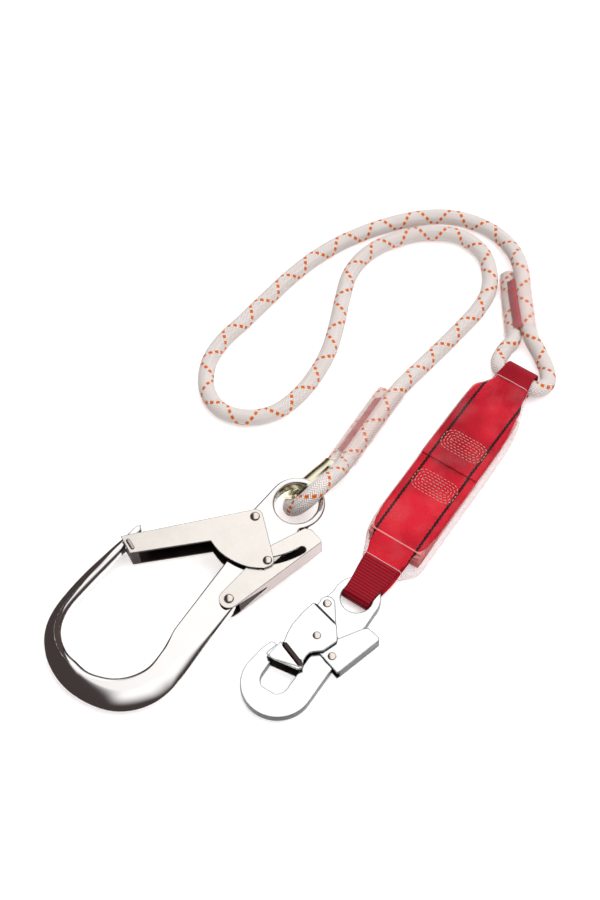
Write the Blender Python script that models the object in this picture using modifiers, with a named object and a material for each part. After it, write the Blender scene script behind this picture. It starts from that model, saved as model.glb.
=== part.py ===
"""Shock absorbing lanyard: scaffold hook, kernmantle rope, tear webbing absorber and snap hook.

Units are metres, +Z is up. The lanyard lies on the plane z = 0. Each hook is drawn in its own frame: the
origin is the centre of its eye, +X points out past the eye, +Y points to its opening and the middle of its
body is the plane z = 0. Shape points are given in millimetres and scaled by MM.
"""

import math

import bmesh
import bpy
from mathutils import Matrix, Vector

MM = 0.001
GAP = 0.35

ROPE_D = 12.0
SHEET_T = 1.3
BIG_RIVET_HEAD = 1.3
SNAP_RIVET_HEAD = 0.7
RIVET_CLEAR = 0.15

# Where things lie, in millimetres. The offset puts the middle of the object's box over the origin.
OFFSET = Vector((0.2, 72.9, 0.0))
BIG_EYE = Vector((-2.5, -58.1, 20.0))
BIG_AZIMUTH = 55.0
BIG_TILT = 4.1
SNAP_EYE = Vector((39.0, -125.3, 7.8))
SNAP_AZIMUTH = 57.0
STRAP_CROSSING = Vector((160.5, 54.2, 9.9))
ABSORBER_AZIMUTH = 235.9

# Scaffold hook
BIG_T = 11.0
BIG_EYE_R = 15.5
BIG_RING_R = 20.5
BIG_GATE_PIVOT = Vector((-26.0, 16.5))
BIG_LEVER_PIVOT = Vector((-86.0, -4.3))
BIG_PIN = Vector((-48.5, -10.1))
BIG_PIN_R = 2.3
BIG_PLATE_T = 1.5
BIG_LEVER_HALF = 7.8
BIG_GATE_HALF = 9.6
BIG_OPEN = 38.0
BIG_SQUEEZE = 6.0

# Snap hook
SNAP_T = 6.0
SNAP_EYE_R = 11.3
SNAP_RING_R = 16.8
SNAP_GATE_PIVOT = Vector((-15.5, 14.2))
SNAP_LEVER_PIVOT = Vector((-47.0, -9.8))
SNAP_PIN = Vector((-40.4, 6.6))
SNAP_PIN_R = 1.8
SNAP_PLATE_T = 1.2
SNAP_LEVER_HALF = 4.6
SNAP_GATE_HALF = 6.9
SNAP_OPEN = 20.0
SNAP_SQUEEZE = 8.0

WHITE_NYLON = ("white_nylon", (0.86, 0.84, 0.80), 0.75, 0.0)
POLISHED = ("polished_steel", (0.62, 0.60, 0.58), 0.14, 1.0)
SATIN = ("satin_nickel_steel", (0.74, 0.70, 0.66), 0.34, 1.0)
ZINC = ("zinc_plated_steel", (0.80, 0.82, 0.84), 0.28, 1.0)
YELLOW_ZINC = ("yellow_zinc_steel", (0.72, 0.68, 0.55), 0.30, 1.0)
SPRING = ("spring_steel", (0.45, 0.44, 0.43), 0.30, 1.0)
RED_WEB = ("red_webbing", (0.62, 0.02, 0.04), 0.70, 0.0)
CLEAR = ("clear_vinyl", (0.93, 0.86, 0.85), 0.20, 0.0)
RED_THREAD = ("red_thread", (0.55, 0.03, 0.06), 0.70, 0.0)
WHITE_THREAD = ("white_thread", (0.82, 0.72, 0.66), 0.70, 0.0)


# ---------------------------------------------------------------- scene and material helpers

def clear_scene():
    """Remove every object that is already there."""
    for scene_object in list(bpy.data.objects):
        bpy.data.objects.remove(scene_object, do_unlink=True)


def new_collection(name):
    """A new collection linked to the scene."""
    collection = bpy.data.collections.new(name)
    bpy.context.scene.collection.children.link(collection)
    return collection


def finish(spec):
    """The material of a finish, made once."""
    name, colour, roughness, metallic = spec
    material = bpy.data.materials.get(name)
    if material is None:
        material = bpy.data.materials.new(name)
        material.use_nodes = True
        shader = material.node_tree.nodes["Principled BSDF"]
        shader.inputs["Base Color"].default_value = (*colour, 1.0)
        shader.inputs["Roughness"].default_value = roughness
        shader.inputs["Metallic"].default_value = metallic
    return material


def empty(name, parent=None, location=(0.0, 0.0, 0.0), rotation=(0.0, 0.0, 0.0)):
    """An axis or a frame that other objects hang from, placed in millimetres and degrees."""
    marker = bpy.data.objects.new(name, None)
    marker.empty_display_size = 0.01
    marker.location = Vector(location) * MM
    marker.rotation_euler = [math.radians(angle) for angle in rotation]
    marker.parent = parent
    PARTS.objects.link(marker)
    return marker


def add_part(name, mesh, parent, spec, location=(0.0, 0.0, 0.0)):
    """A named piece with its finish, hung from its frame or its axis."""
    part = bpy.data.objects.new(name, mesh)
    part.location = Vector(location) * MM
    part.parent = parent
    mesh.materials.clear()
    mesh.materials.append(finish(spec))
    PARTS.objects.link(part)
    return part


def add_cutter(name, mesh, parent, location=(0.0, 0.0, 0.0)):
    """A tool that cuts or joins pieces and is not itself part of the lanyard."""
    cutter = bpy.data.objects.new(name, mesh)
    cutter.location = Vector(location) * MM
    cutter.parent = parent
    cutter.hide_render = True
    cutter.display_type = "WIRE"
    CUTTERS.objects.link(cutter)
    return cutter


def combine(part, tool, operation="DIFFERENCE", solver="EXACT"):
    """Cut a tool out of a piece, or join it on."""
    modifier = part.modifiers.new(tool.name, "BOOLEAN")
    modifier.operation = operation
    modifier.solver = solver
    modifier.object = tool


def round_edges(part, width, segments=2, angle=50.0):
    """Round the edges of a piece that are sharper than an angle in degrees."""
    modifier = part.modifiers.new("rounded_edges", "BEVEL")
    modifier.width = width * MM
    modifier.segments = segments
    modifier.limit_method = "ANGLE"
    modifier.angle_limit = math.radians(angle)


def shade(mesh, angle=35.0):
    """Shade a mesh smooth and keep the edges over an angle sharp."""
    mesh.shade_smooth()
    mesh.set_sharp_from_angle(angle=math.radians(angle))


# ---------------------------------------------------------------- outline helpers (2D, millimetres)

def arc(centre, radius, start, end, count):
    """Points along an arc, angles in degrees."""
    points = []
    for i in range(count + 1):
        angle = math.radians(start + (end - start) * i / count)
        points.append(Vector((centre[0] + radius * math.cos(angle),
                              centre[1] + radius * math.sin(angle))))
    return points


def smooth(route, parts):
    """A smooth curve through the points of a route, 2D or 3D, with `parts` pieces between two points."""
    points = [Vector(p) for p in route]
    ends = [points[0] * 2 - points[1]] + points + [points[-1] * 2 - points[-2]]
    curve = []
    for i in range(1, len(ends) - 2):
        before, start, end, after = ends[i - 1:i + 3]
        count = parts if isinstance(parts, int) else parts[i - 1]
        for step in range(count):
            t = step / count
            along = (end - before) * 0.5
            leave = (after - start) * 0.5
            curve.append(start * (2 * t**3 - 3 * t**2 + 1) + along * (t**3 - 2 * t**2 + t)
                         + end * (3 * t**2 - 2 * t**3) + leave * (t**3 - t**2))
    curve.append(points[-1])
    return curve


def turn(point, centre, degrees):
    """A 2D point turned about a centre."""
    return centre + Matrix.Rotation(math.radians(degrees), 2) @ (Vector(point) - centre)


def stadium(path, radius, cap=6):
    """The outline of a round tool of a given radius swept along a 2D path."""
    left, right = [], []
    for i, point in enumerate(path):
        along = (path[min(i + 1, len(path) - 1)] - path[max(i - 1, 0)]).normalized()
        side = Vector((-along.y, along.x))
        left.append(point + side * radius)
        right.append(point - side * radius)
    first = (path[1] - path[0]).normalized()
    last = (path[-1] - path[-2]).normalized()
    nose = math.degrees(math.atan2(last.y, last.x))
    tail = math.degrees(math.atan2(-first.y, -first.x))
    return (right + arc(path[-1], radius, nose - 90, nose + 90, cap)[1:-1] + left[::-1]
            + arc(path[0], radius, tail - 90, tail + 90, cap)[1:-1])


def slab(name, outlines, half, centre=(0.0, 0.0)):
    """A mesh of flat outlines, the first with the others as holes, from z = -half to +half."""
    curve = bpy.data.curves.new(name + "_outline", "CURVE")
    curve.dimensions = "2D"
    curve.fill_mode = "BOTH"
    curve.extrude = half * MM
    for outline in outlines:
        spline = curve.splines.new("POLY")
        spline.points.add(len(outline) - 1)
        for point, place in zip(spline.points, outline):
            point.co = ((place[0] - centre[0]) * MM, (place[1] - centre[1]) * MM, 0.0, 1.0)
        spline.use_cyclic_u = True
    return mesh_of(name, curve)


def weld(mesh):
    """Join a mesh's doubled points and turn its faces outwards."""
    shape = bmesh.new()
    shape.from_mesh(mesh)
    bmesh.ops.remove_doubles(shape, verts=shape.verts, dist=1e-6)
    bmesh.ops.recalc_face_normals(shape, faces=shape.faces)
    shape.to_mesh(mesh)
    shape.free()
    shade(mesh)


def mesh_of(name, curve):
    """The welded mesh of a curve, which is then removed."""
    holder = bpy.data.objects.new(name + "_curve", curve)
    bpy.context.scene.collection.objects.link(holder)
    graph = bpy.context.evaluated_depsgraph_get()
    mesh = bpy.data.meshes.new_from_object(holder.evaluated_get(graph))
    mesh.name = name
    bpy.data.objects.remove(holder, do_unlink=True)
    weld(mesh)
    return mesh


def tube(name, points, radius, resolution=2):
    """The mesh of a round bar along 3D points in millimetres, with closed ends."""
    curve = bpy.data.curves.new(name + "_line", "CURVE")
    curve.dimensions = "3D"
    curve.bevel_depth = radius * MM
    curve.bevel_resolution = resolution
    curve.use_fill_caps = True
    spline = curve.splines.new("POLY")
    spline.points.add(len(points) - 1)
    for point, place in zip(spline.points, points):
        point.co = (place[0] * MM, place[1] * MM, place[2] * MM, 1.0)
    return mesh_of(name, curve)


def cylinder(radius, half, sides=24):
    """A round tool about the z axis, from -half to +half."""
    mesh = bpy.data.meshes.new("round_tool")
    shape = bmesh.new()
    bmesh.ops.create_cone(shape, cap_ends=True, segments=sides, radius1=radius * MM,
                          radius2=radius * MM, depth=2 * half * MM)
    shape.to_mesh(mesh)
    shape.free()
    return mesh


def loft(name, sections, closed_ends=True):
    """A skin over rings of points. Every ring has the same count and turns the same way."""
    mesh = bpy.data.meshes.new(name)
    shape = bmesh.new()
    rings = [[shape.verts.new(Vector(point) * MM) for point in section] for section in sections]
    for near, far in zip(rings, rings[1:]):
        for i, corner in enumerate(near):
            following = (i + 1) % len(near)
            shape.faces.new((corner, near[following], far[following], far[i]))
    if closed_ends:
        shape.faces.new(rings[0][::-1])
        shape.faces.new(rings[-1])
    bmesh.ops.recalc_face_normals(shape, faces=shape.faces)
    shape.to_mesh(mesh)
    shape.free()
    shade(mesh, 50.0)
    return mesh


# ---------------------------------------------------------------- shared hook hardware

def rivet(name, parent, place, shank_r, half, head, spec):
    """A shouldered rivet with a domed head at each end, turned about its own axis.

    The head is its radius and its height.
    """
    head_r, dome = head
    seat = half + RIVET_CLEAR
    upper = [(0.0, seat + dome), (head_r * 0.55, seat + dome * 0.82),
             (head_r * 0.9, seat + dome * 0.38), (head_r, seat), (shank_r, seat)]
    profile = upper + [(x, -z) for x, z in reversed(upper)]
    mesh = bpy.data.meshes.new(name)
    mesh.from_pydata([(x * MM, 0.0, z * MM) for x, z in profile],
                     [(i, i + 1) for i in range(len(profile) - 1)], [])
    part = add_part(name, mesh, parent, spec, (place[0], place[1], 0.0))
    turned = part.modifiers.new("turned", "SCREW")
    turned.axis = "Z"
    turned.steps = 16
    turned.render_steps = 16
    turned.use_merge_vertices = True
    turned.merge_threshold = 0.00005
    turned.use_smooth_shade = True
    return part


def torsion_spring(name, parent, wire, coil_r, height, turns, leg_a, leg_b):
    """A torsion spring about the parent's axis, coiled downwards from `height`.

    Each leg is a list of points: the first leaves the top turn and the second leaves the bottom turn.
    """
    per_turn = 10
    pitch = wire * 1.12
    count = round(turns * per_turn)
    start = math.atan2(leg_a[0][1], leg_a[0][0]) + math.pi / 2
    coil = []
    for i in range(count + 1):
        angle = start + 2 * math.pi * i / per_turn
        coil.append(Vector((coil_r * math.cos(angle), coil_r * math.sin(angle),
                            height - pitch * i / per_turn)))
    points = [Vector(p) for p in reversed(leg_a)] + coil + [Vector(p) for p in leg_b]
    return add_part(name, tube(name, points, wire / 2, 1), parent, SPRING)


def pin_path(pin, gate_pivot, opening, lever_pivot=None, squeeze=0.0, over=2.0, count=8):
    """The lock pin's path as the gate opens, in the hook's frame or in the turning lever's frame."""
    path = []
    for i in range(count + 1):
        angle = -over + (opening + 2 * over) * i / count
        point = turn(pin, gate_pivot, angle)
        if lever_pivot is not None:
            point = turn(point, lever_pivot, -angle * squeeze / opening)
        path.append(point)
    return path


# ---------------------------------------------------------------- scaffold hook

def big_body_outline():
    """The forged bow: tapered nose, round bowl, straight shank, pivot head and eye ring."""
    outer = smooth([(-75.5, 83.6), (-92.0, 88.2), (-106.0, 91.2), (-122.0, 93.8), (-142.0, 95.3),
                    (-158.0, 94.6), (-172.0, 90.2), (-183.5, 81.8), (-192.5, 70.0), (-198.4, 54.0),
                    (-199.2, 36.0), (-195.2, 18.0), (-186.5, 4.6), (-174.0, -4.6), (-160.0, -8.9),
                    (-145.0, -9.8)], 2)
    notch = [Vector((-54.0, -9.8)), Vector((-52.0, -7.4))]
    recess = notch + arc(BIG_GATE_PIVOT, 31.8, 222.5, 288.0, 9)
    ring = arc((0, 0), BIG_RING_R, 222.0, 444.6, 26)
    head = arc(BIG_GATE_PIVOT, 6.5, 84.6, 190.0, 6)
    inner = smooth([(-124.0, 14.6), (-133.0, 13.4), (-143.0, 13.2), (-155.0, 15.0), (-165.5, 20.4),
                    (-173.4, 29.0), (-178.0, 40.0)], 2)
    seat = smooth([(-178.0, 56.0), (-176.0, 66.0), (-169.8, 75.4), (-161.0, 81.0), (-150.0, 83.2),
                   (-136.0, 82.6), (-118.0, 80.8), (-100.0, 79.6), (-86.0, 79.3), (-75.6, 80.2)], 2)
    shank = [Vector((-44.0, 14.0)), Vector((-60.0, 14.6))]
    nose = [Vector((-74.0, 81.9))]
    return outer + recess + ring + head + shank + inner + seat + nose


def big_gate_outline():
    """One cheek of the gate: the arm that closes the mouth and the tail that carries the lock pin."""
    hub = arc(BIG_GATE_PIVOT, 5.6, -38.0, 46.8, 5)
    arm = [Vector((-90.3, 85.3)), Vector((-97.0, 72.0)), Vector((-92.2, 67.0)), Vector((-58.2, 31.2))]
    tail = smooth([(-58.2, 31.2), (-61.6, 21.0), (-62.0, 9.0), (-59.6, -2.5), (-54.6, -11.6)], 2)[1:]
    corner = arc(BIG_PIN, 4.6, 232.0, 318.0, 4)
    return hub + arm + tail + corner


def big_hook(frame):
    """The scaffold hook: forged body, channel gate, lock lever, their rivets, lock pin and springs."""
    gate_axis = empty("big_hook_gate_axis", frame, (*BIG_GATE_PIVOT, 0.0))
    lever_axis = empty("big_hook_lever_axis", frame, (*BIG_LEVER_PIVOT, 0.0))
    eye = arc((0, 0), BIG_EYE_R, 0.0, 360.0, 28)[:-1]
    body_mesh = slab("big_hook_body", [big_body_outline(), eye], BIG_T / 2)
    body = add_part("big_hook_body", body_mesh, frame, POLISHED)
    round_edges(body, 1.7, 2)
    for name, place, radius in (("gate", BIG_GATE_PIVOT, 2.8), ("lever", BIG_LEVER_PIVOT, 2.8)):
        hole = add_cutter(f"big_{name}_rivet_hole", cylinder(radius, 12), frame, (*place, 0.0))
        combine(body, hole, solver="MANIFOLD")
    gate_pocket = add_cutter("big_gate_spring_pocket", cylinder(5.0, 5, 20), frame,
                             (*BIG_GATE_PIVOT, 8.0))
    combine(body, gate_pocket, solver="MANIFOLD")
    lever_pocket = add_cutter("big_lever_spring_pocket", cylinder(7.4, 5, 24), frame,
                              (*BIG_LEVER_PIVOT, 7.6))
    combine(body, lever_pocket, solver="MANIFOLD")

    gate_mesh = slab("big_hook_gate", [big_gate_outline()], BIG_GATE_HALF, BIG_GATE_PIVOT)
    gate = add_part("big_hook_gate", gate_mesh, gate_axis, SATIN)
    hollow = [(-10.0, 22.0), (-31.0, 38.0), (-31.5, 26.5), (-78.2, 71.0), (-80.0, 90.0), (-100.0, 90.0),
              (-93.2, 77.6), (-95.2, 72.2), (-91.0, 64.0), (-110.0, 20.0), (-66.0, -30.0), (-15.0, -30.0)]
    room = slab("big_gate_hollow", [hollow], BIG_GATE_HALF - BIG_PLATE_T, BIG_GATE_PIVOT)
    combine(gate, add_cutter("big_gate_hollow", room, gate_axis))
    for name, place in (("pivot", BIG_GATE_PIVOT), ("pin", BIG_PIN)):
        offset = place - BIG_GATE_PIVOT
        hole = add_cutter(f"big_gate_{name}_hole", cylinder(2.8, 14), gate_axis, (*offset, 0.0))
        combine(gate, hole)

    lever_outline = (arc(BIG_LEVER_PIVOT, 7.0, 92.0, 253.0, 9)
                     + [Vector((-15.6, -32.6)), Vector((-14.2, -31.4)), Vector((-11.8, -21.0)),
                        Vector((-13.6, -16.8)), Vector((-17.0, -15.2)), Vector((-36.0, -5.6)),
                        Vector((-47.0, -2.0)), Vector((-60.0, -0.6))])
    lever_mesh = slab("big_hook_lever", [lever_outline], BIG_LEVER_HALF, BIG_LEVER_PIVOT)
    lever = add_part("big_hook_lever", lever_mesh, lever_axis, SATIN)
    inside = [(-100.0, 10.0), (-100.0, -30.0), (-84.6, -30.0), (-84.6, -11.5), (-13.0, -31.4),
              (0.0, -34.0), (0.0, 10.0)]
    room = slab("big_lever_hollow", [inside], BIG_LEVER_HALF - BIG_PLATE_T + 0.1, BIG_LEVER_PIVOT)
    combine(lever, add_cutter("big_lever_hollow", room, lever_axis))
    slot_path = pin_path(BIG_PIN, BIG_GATE_PIVOT, BIG_OPEN, BIG_LEVER_PIVOT, BIG_SQUEEZE)
    slot = slab("big_lever_slot", [stadium(slot_path, BIG_PIN_R + 0.5)], 14, BIG_LEVER_PIVOT)
    combine(lever, add_cutter("big_lever_slot", slot, lever_axis))
    combine(lever, add_cutter("big_lever_rivet_hole_2", cylinder(2.8, 14), lever_axis))
    vent = slab("big_lever_vent", [[(-3, -0.9), (3, -0.9), (3, 0.9), (-3, 0.9)]], 6)
    vent_tool = add_cutter("big_lever_vent", vent, lever_axis, (19.7, -17.0, 0.0))
    vent_tool.rotation_euler = (math.radians(90.0), 0.0, math.radians(-15.6))
    combine(lever, vent_tool)

    head = (3.5, BIG_RIVET_HEAD)
    rivet("big_hook_gate_rivet", frame, BIG_GATE_PIVOT, 2.5, BIG_GATE_HALF, head, POLISHED)
    rivet("big_hook_lever_rivet", frame, BIG_LEVER_PIVOT, 2.5, BIG_LEVER_HALF, head, POLISHED)
    rivet("big_hook_lock_pin", gate_axis, BIG_PIN - BIG_GATE_PIVOT, BIG_PIN_R, BIG_GATE_HALF,
          (3.3, BIG_RIVET_HEAD), POLISHED)
    torsion_spring("big_hook_gate_spring", gate_axis, 1.0, 3.9, 7.35, 3.0,
                   [(-3.4, 4.6, 7.35), (-13.0, 13.4, 7.35)], [])
    torsion_spring("big_hook_lever_spring", lever_axis, 1.0, 4.2, 5.6, 2.0,
                   [(2.6, -5.0, 5.6), (4.2, -7.0, 5.6), (8.5, -8.2, 5.6)], [])


# ---------------------------------------------------------------- snap hook

def snap_body_outline():
    """The pressed body: round bowl, nose arm, straight back and eye ring."""
    outer = arc((-82.7, 10.8), 25.3, 78.0, 270.0, 24)
    back = [Vector((-60.0, -14.6)), Vector((-36.0, -15.0)), Vector((-15.0, -16.9))]
    ring = arc((0, 0), SNAP_RING_R, 262.0, 460.0, 24)
    head = arc(SNAP_GATE_PIVOT, 5.4, 98.0, 190.0, 5)
    inside = [Vector((-24.0, 6.0)), Vector((-32.0, 3.4)), Vector((-76.0, 3.0))]
    bowl = arc((-82.0, 12.6), 9.6, 285.0, 210.0, 5) + arc((-82.0, 13.6), 9.6, 150.0, 100.0, 4)
    nose = [Vector((-72.0, 23.4)), Vector((-64.0, 24.8)), Vector((-59.6, 26.2)), Vector((-58.4, 29.0)),
            Vector((-59.6, 31.6)), Vector((-67.0, 34.2))]
    return outer + back + ring + head + inside + bowl + nose


def snap_gate_outline():
    """The raised cheek of the gate, from the joggle by the pivot to the nose."""
    return ([Vector((-20.6, 22.2)), Vector((-31.0, 24.4)), Vector((-42.6, 25.4)), Vector((-50.0, 24.6)),
             Vector((-56.5, 23.0)), Vector((-62.0, 26.4)), Vector((-69.6, 28.4)), Vector((-71.6, 26.0)),
             Vector((-68.6, 3.6)), Vector((-66.0, 1.6))]
            + smooth([(-66.0, 1.6), (-60.5, 4.0), (-54.0, 3.8), (-50.6, 0.4), (-47.9, -3.0)], 2)[1:]
            + [Vector((-37.0, -7.2)), Vector((-35.0, -6.6)), Vector((-26.6, -0.6))])


def snap_hook(frame):
    """The snap hook: flat body, joggled gate, lock lever, their rivets, lock pin and springs."""
    gate_axis = empty("snap_hook_gate_axis", frame, (*SNAP_GATE_PIVOT, 0.0))
    lever_axis = empty("snap_hook_lever_axis", frame, (*SNAP_LEVER_PIVOT, 0.0))
    eye = arc((0, 0), SNAP_EYE_R, 0.0, 360.0, 24)[:-1]
    body_mesh = slab("snap_hook_body", [snap_body_outline(), eye], SNAP_T / 2)
    body = add_part("snap_hook_body", body_mesh, frame, ZINC)
    round_edges(body, 0.5, 1)
    path = pin_path(SNAP_PIN, SNAP_GATE_PIVOT, SNAP_OPEN)
    slot = slab("snap_body_slot", [stadium(path, SNAP_PIN_R + 0.6)], 10)
    combine(body, add_cutter("snap_body_slot", slot, frame), solver="MANIFOLD")
    for name, place, pocket_r in (("gate", SNAP_GATE_PIVOT, 4.4), ("lever", SNAP_LEVER_PIVOT, 5.6)):
        hole = add_cutter(f"snap_{name}_rivet_hole", cylinder(2.3, 8), frame, (*place, 0.0))
        combine(body, hole, solver="MANIFOLD")
        pocket = add_cutter(f"snap_{name}_spring_pocket", cylinder(pocket_r, 4, 20), frame, (*place, 4.6))
        combine(body, pocket, solver="MANIFOLD")

    gate_mesh = slab("snap_hook_gate", [snap_gate_outline()], SNAP_GATE_HALF, SNAP_GATE_PIVOT)
    gate = add_part("snap_hook_gate", gate_mesh, gate_axis, ZINC)
    wall = SNAP_PLATE_T
    hollow = [(-27.0, -10.0), (-22.6, 20.4), (-31.2, 22.8), (-42.6, 23.8), (-50.4, 23.0), (-56.4, 21.4),
              (-57.0, 40.0), (-80.0, 40.0), (-80.0, -20.0), (-30.0, -20.0)]
    room = slab("snap_gate_hollow", [hollow], SNAP_GATE_HALF - wall, SNAP_GATE_PIVOT)
    combine(gate, add_cutter("snap_gate_hollow", room, gate_axis))
    tab = (arc(SNAP_GATE_PIVOT, 5.6, -45.0, 110.0, 8)
           + [Vector((-22.4, 19.4)), Vector((-24.2, 19.0)), Vector((-28.6, 0.4)), Vector((-26.8, -0.4))])
    tab_mesh = slab("snap_gate_tab", [tab], SNAP_LEVER_HALF + 0.6, SNAP_GATE_PIVOT)
    combine(gate, add_cutter("snap_gate_tab", tab_mesh, gate_axis), "UNION")
    under_tab = [(-2.0, -12.0), (-2.0, 30.0), (-30.0, 30.0), (-34.0, -12.0)]
    under = slab("snap_gate_tab_hollow", [under_tab], SNAP_T / 2 + GAP, SNAP_GATE_PIVOT)
    combine(gate, add_cutter("snap_gate_tab_hollow", under, gate_axis))
    window = [(-63.8, 21.6), (-61.6, 5.2), (-65.2, 4.6), (-67.4, 21.0)]
    opening = add_cutter("snap_gate_window", slab("snap_gate_window", [window], 3, SNAP_GATE_PIVOT),
                         gate_axis, (0.0, 0.0, 6.2))
    combine(gate, opening)
    for name, place in (("pivot", SNAP_GATE_PIVOT), ("pin", SNAP_PIN)):
        offset = place - SNAP_GATE_PIVOT
        hole = add_cutter(f"snap_gate_{name}_hole", cylinder(2.3, 12), gate_axis, (*offset, 0.0))
        combine(gate, hole)

    lever_outline = [Vector((-55.6, -19.4)), Vector((-53.2, -20.4)), Vector((-19.4, -30.4)),
                     Vector((-17.6, -29.0)), Vector((-15.6, -19.4)), Vector((-18.0, -16.4)),
                     Vector((-33.0, -6.6)), Vector((-33.4, 4.0)), Vector((-36.0, 11.0)),
                     Vector((-42.0, 11.8)), Vector((-46.4, 9.0))]
    lever_mesh = slab("snap_hook_lever", [lever_outline], SNAP_LEVER_HALF, SNAP_LEVER_PIVOT)
    lever = add_part("snap_hook_lever", lever_mesh, lever_axis, ZINC)
    inside = [(-70.0, 20.0), (-70.0, -30.0), (-53.8, -30.0), (-53.4, -18.8), (-17.0, -29.6), (0.0, -34.0),
              (0.0, 20.0)]
    room = slab("snap_lever_hollow", [inside], SNAP_LEVER_HALF - wall, SNAP_LEVER_PIVOT)
    combine(lever, add_cutter("snap_lever_hollow", room, lever_axis))
    slot_path = pin_path(SNAP_PIN, SNAP_GATE_PIVOT, SNAP_OPEN, SNAP_LEVER_PIVOT, SNAP_SQUEEZE)
    slot = slab("snap_lever_slot", [stadium(slot_path, SNAP_PIN_R + 0.4)], 10, SNAP_LEVER_PIVOT)
    combine(lever, add_cutter("snap_lever_slot", slot, lever_axis))
    combine(lever, add_cutter("snap_lever_rivet_hole_2", cylinder(2.3, 10), lever_axis))

    head = (3.0, SNAP_RIVET_HEAD)
    rivet("snap_hook_gate_rivet", frame, SNAP_GATE_PIVOT, 2.0, SNAP_LEVER_HALF + 0.6, head, ZINC)
    rivet("snap_hook_lever_rivet", frame, SNAP_LEVER_PIVOT, 2.0, SNAP_LEVER_HALF, head, ZINC)
    rivet("snap_hook_lock_pin", gate_axis, SNAP_PIN - SNAP_GATE_PIVOT, SNAP_PIN_R, SNAP_GATE_HALF,
          (2.9, SNAP_RIVET_HEAD), ZINC)
    torsion_spring("snap_hook_gate_spring", gate_axis, 0.7, 3.1, 2.75, 2.0, [(-3.8, -0.6, 2.75)], [])
    torsion_spring("snap_hook_lever_spring", lever_axis, 0.8, 3.6, 2.5, 1.5, [(3.0, -3.4, 2.5)], [])


# ---------------------------------------------------------------- rope assembly

ROPE_ROUTE = [
    # tail in the hook end splice, then under the hook's eye ring and up through the eye
    (62.5, 44.5, 7.7), (43.5, 14.5, 7.7), (24.5, -15.5, 7.6), (11.8, -28.2, 6.8), (-0.9, -41.1, 6.8),
    (-6.1, -52.3, 11.0), (-4.0, -60.1, 21.2), (4.1, -60.0, 31.4), (13.5, -52.1, 35.6), (25.0, -36.2, 28.0),
    # over the ring into the splice, then the run over the floor
    (32.1, -20.3, 15.9), (51.1, 9.7, 15.9), (70.1, 39.7, 15.4), (82.0, 57.0, 10.2), (96.0, 74.5, 6.4),
    (114.0, 95.0, 6.2), (133.0, 118.0, 6.2), (142.5, 136.0, 6.2), (144.5, 155.0, 6.2), (139.5, 173.0, 6.2),
    (124.0, 187.5, 6.2), (98.0, 191.5, 6.2), (71.0, 184.0, 6.2), (50.0, 170.0, 6.2), (38.0, 152.0, 6.2),
    (32.5, 131.0, 6.2), (28.0, 108.0, 6.2), (22.0, 84.0, 6.2), (12.0, 62.0, 6.2), (-2.0, 42.0, 6.2),
    (-19.0, 28.0, 6.2), (-38.0, 24.0, 6.2), (-57.0, 30.0, 6.2), (-68.0, 47.0, 6.2), (-68.0, 69.0, 6.2),
    (-59.0, 89.0, 6.2), (-42.0, 109.0, 6.2), (-23.5, 131.0, 6.2), (-6.0, 151.0, 6.2), (12.0, 168.0, 6.2),
    (33.0, 183.0, 6.2), (59.0, 196.0, 6.2), (85.0, 204.5, 6.2), (109.0, 207.5, 6.2), (131.0, 203.0, 6.2),
    (149.0, 192.5, 6.2), (161.5, 176.0, 8.6),
    # through the eye splice, round the soft eye and back as the second tail
    (167.0, 152.0, 15.8), (168.2, 124.0, 15.2), (170.8, 94.0, 12.6), (177.6, 78.0, 8.8), (182.2, 64.0, 7.6),
    (181.4, 51.6, 8.6), (172.6, 46.0, 9.8), (160.5, 54.2, 9.9), (149.4, 61.7, 9.8), (146.8, 71.0, 8.6),
    (152.0, 82.0, 7.4), (159.4, 94.0, 7.7), (158.2, 124.0, 7.8), (158.2, 150.0, 7.8),
]
LOOP_START = 3
LOOP_END = 10
FINE = {3, 4, 5, 6, 7, 8, 50, 51, 52, 53, 54, 55, 56}


def rope_points():
    """The rope's middle line, in finer steps round its two eyes."""
    parts = [2 if i in FINE else 1 for i in range(len(ROPE_ROUTE) - 1)]
    return smooth(ROPE_ROUTE, parts)


def loop_frames(route, centre_line):
    """Points of the rope in an eye, each with the way to the middle of the eye and the way across."""
    frames = []
    for i, point in enumerate(route):
        along = (route[min(i + 1, len(route) - 1)] - route[max(i - 1, 0)]).normalized()
        start, end = centre_line
        share = max(0.0, min(1.0, (point - start).dot(end - start) / (end - start).length_squared))
        inward = (start + (end - start) * share) - point
        inward = (inward - along * inward.dot(along)).normalized()
        frames.append((point, inward, along.cross(inward)))
    return frames


def thimble(frame):
    """The sheet metal channel that lines the rope eye, a C section carried round the loop."""
    route = smooth(ROPE_ROUTE[LOOP_START - 1:LOOP_END + 1], 3)[2:-3]
    crown = Vector((6.3, -46.6, 21.2))
    waist = Vector((24.0, -23.0, 13.0))
    groove = ROPE_D / 2 + 0.45
    sweep = list(range(-60, 61, 20))
    profile = arc((0.0, 0.0), groove + SHEET_T, sweep[0], sweep[-1], len(sweep) - 1) \
        + arc((0.0, 0.0), groove, sweep[-1], sweep[0], len(sweep) - 1)
    sections = []
    for point, inward, across in loop_frames(route, (crown, waist)):
        sections.append([point + inward * place.x + across * place.y for place in profile])
    add_part("thimble", loft("thimble", sections), frame, YELLOW_ZINC)


def pair_frame(pair, ahead):
    """The middle of two strands, the way from one to the other, the way out and half their distance."""
    main, tail = (Vector(point) for point in pair)
    across = main - tail
    across -= ahead * across.dot(ahead)
    return (main + tail) / 2, across.normalized(), across.normalized().cross(ahead), across.length / 2


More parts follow.
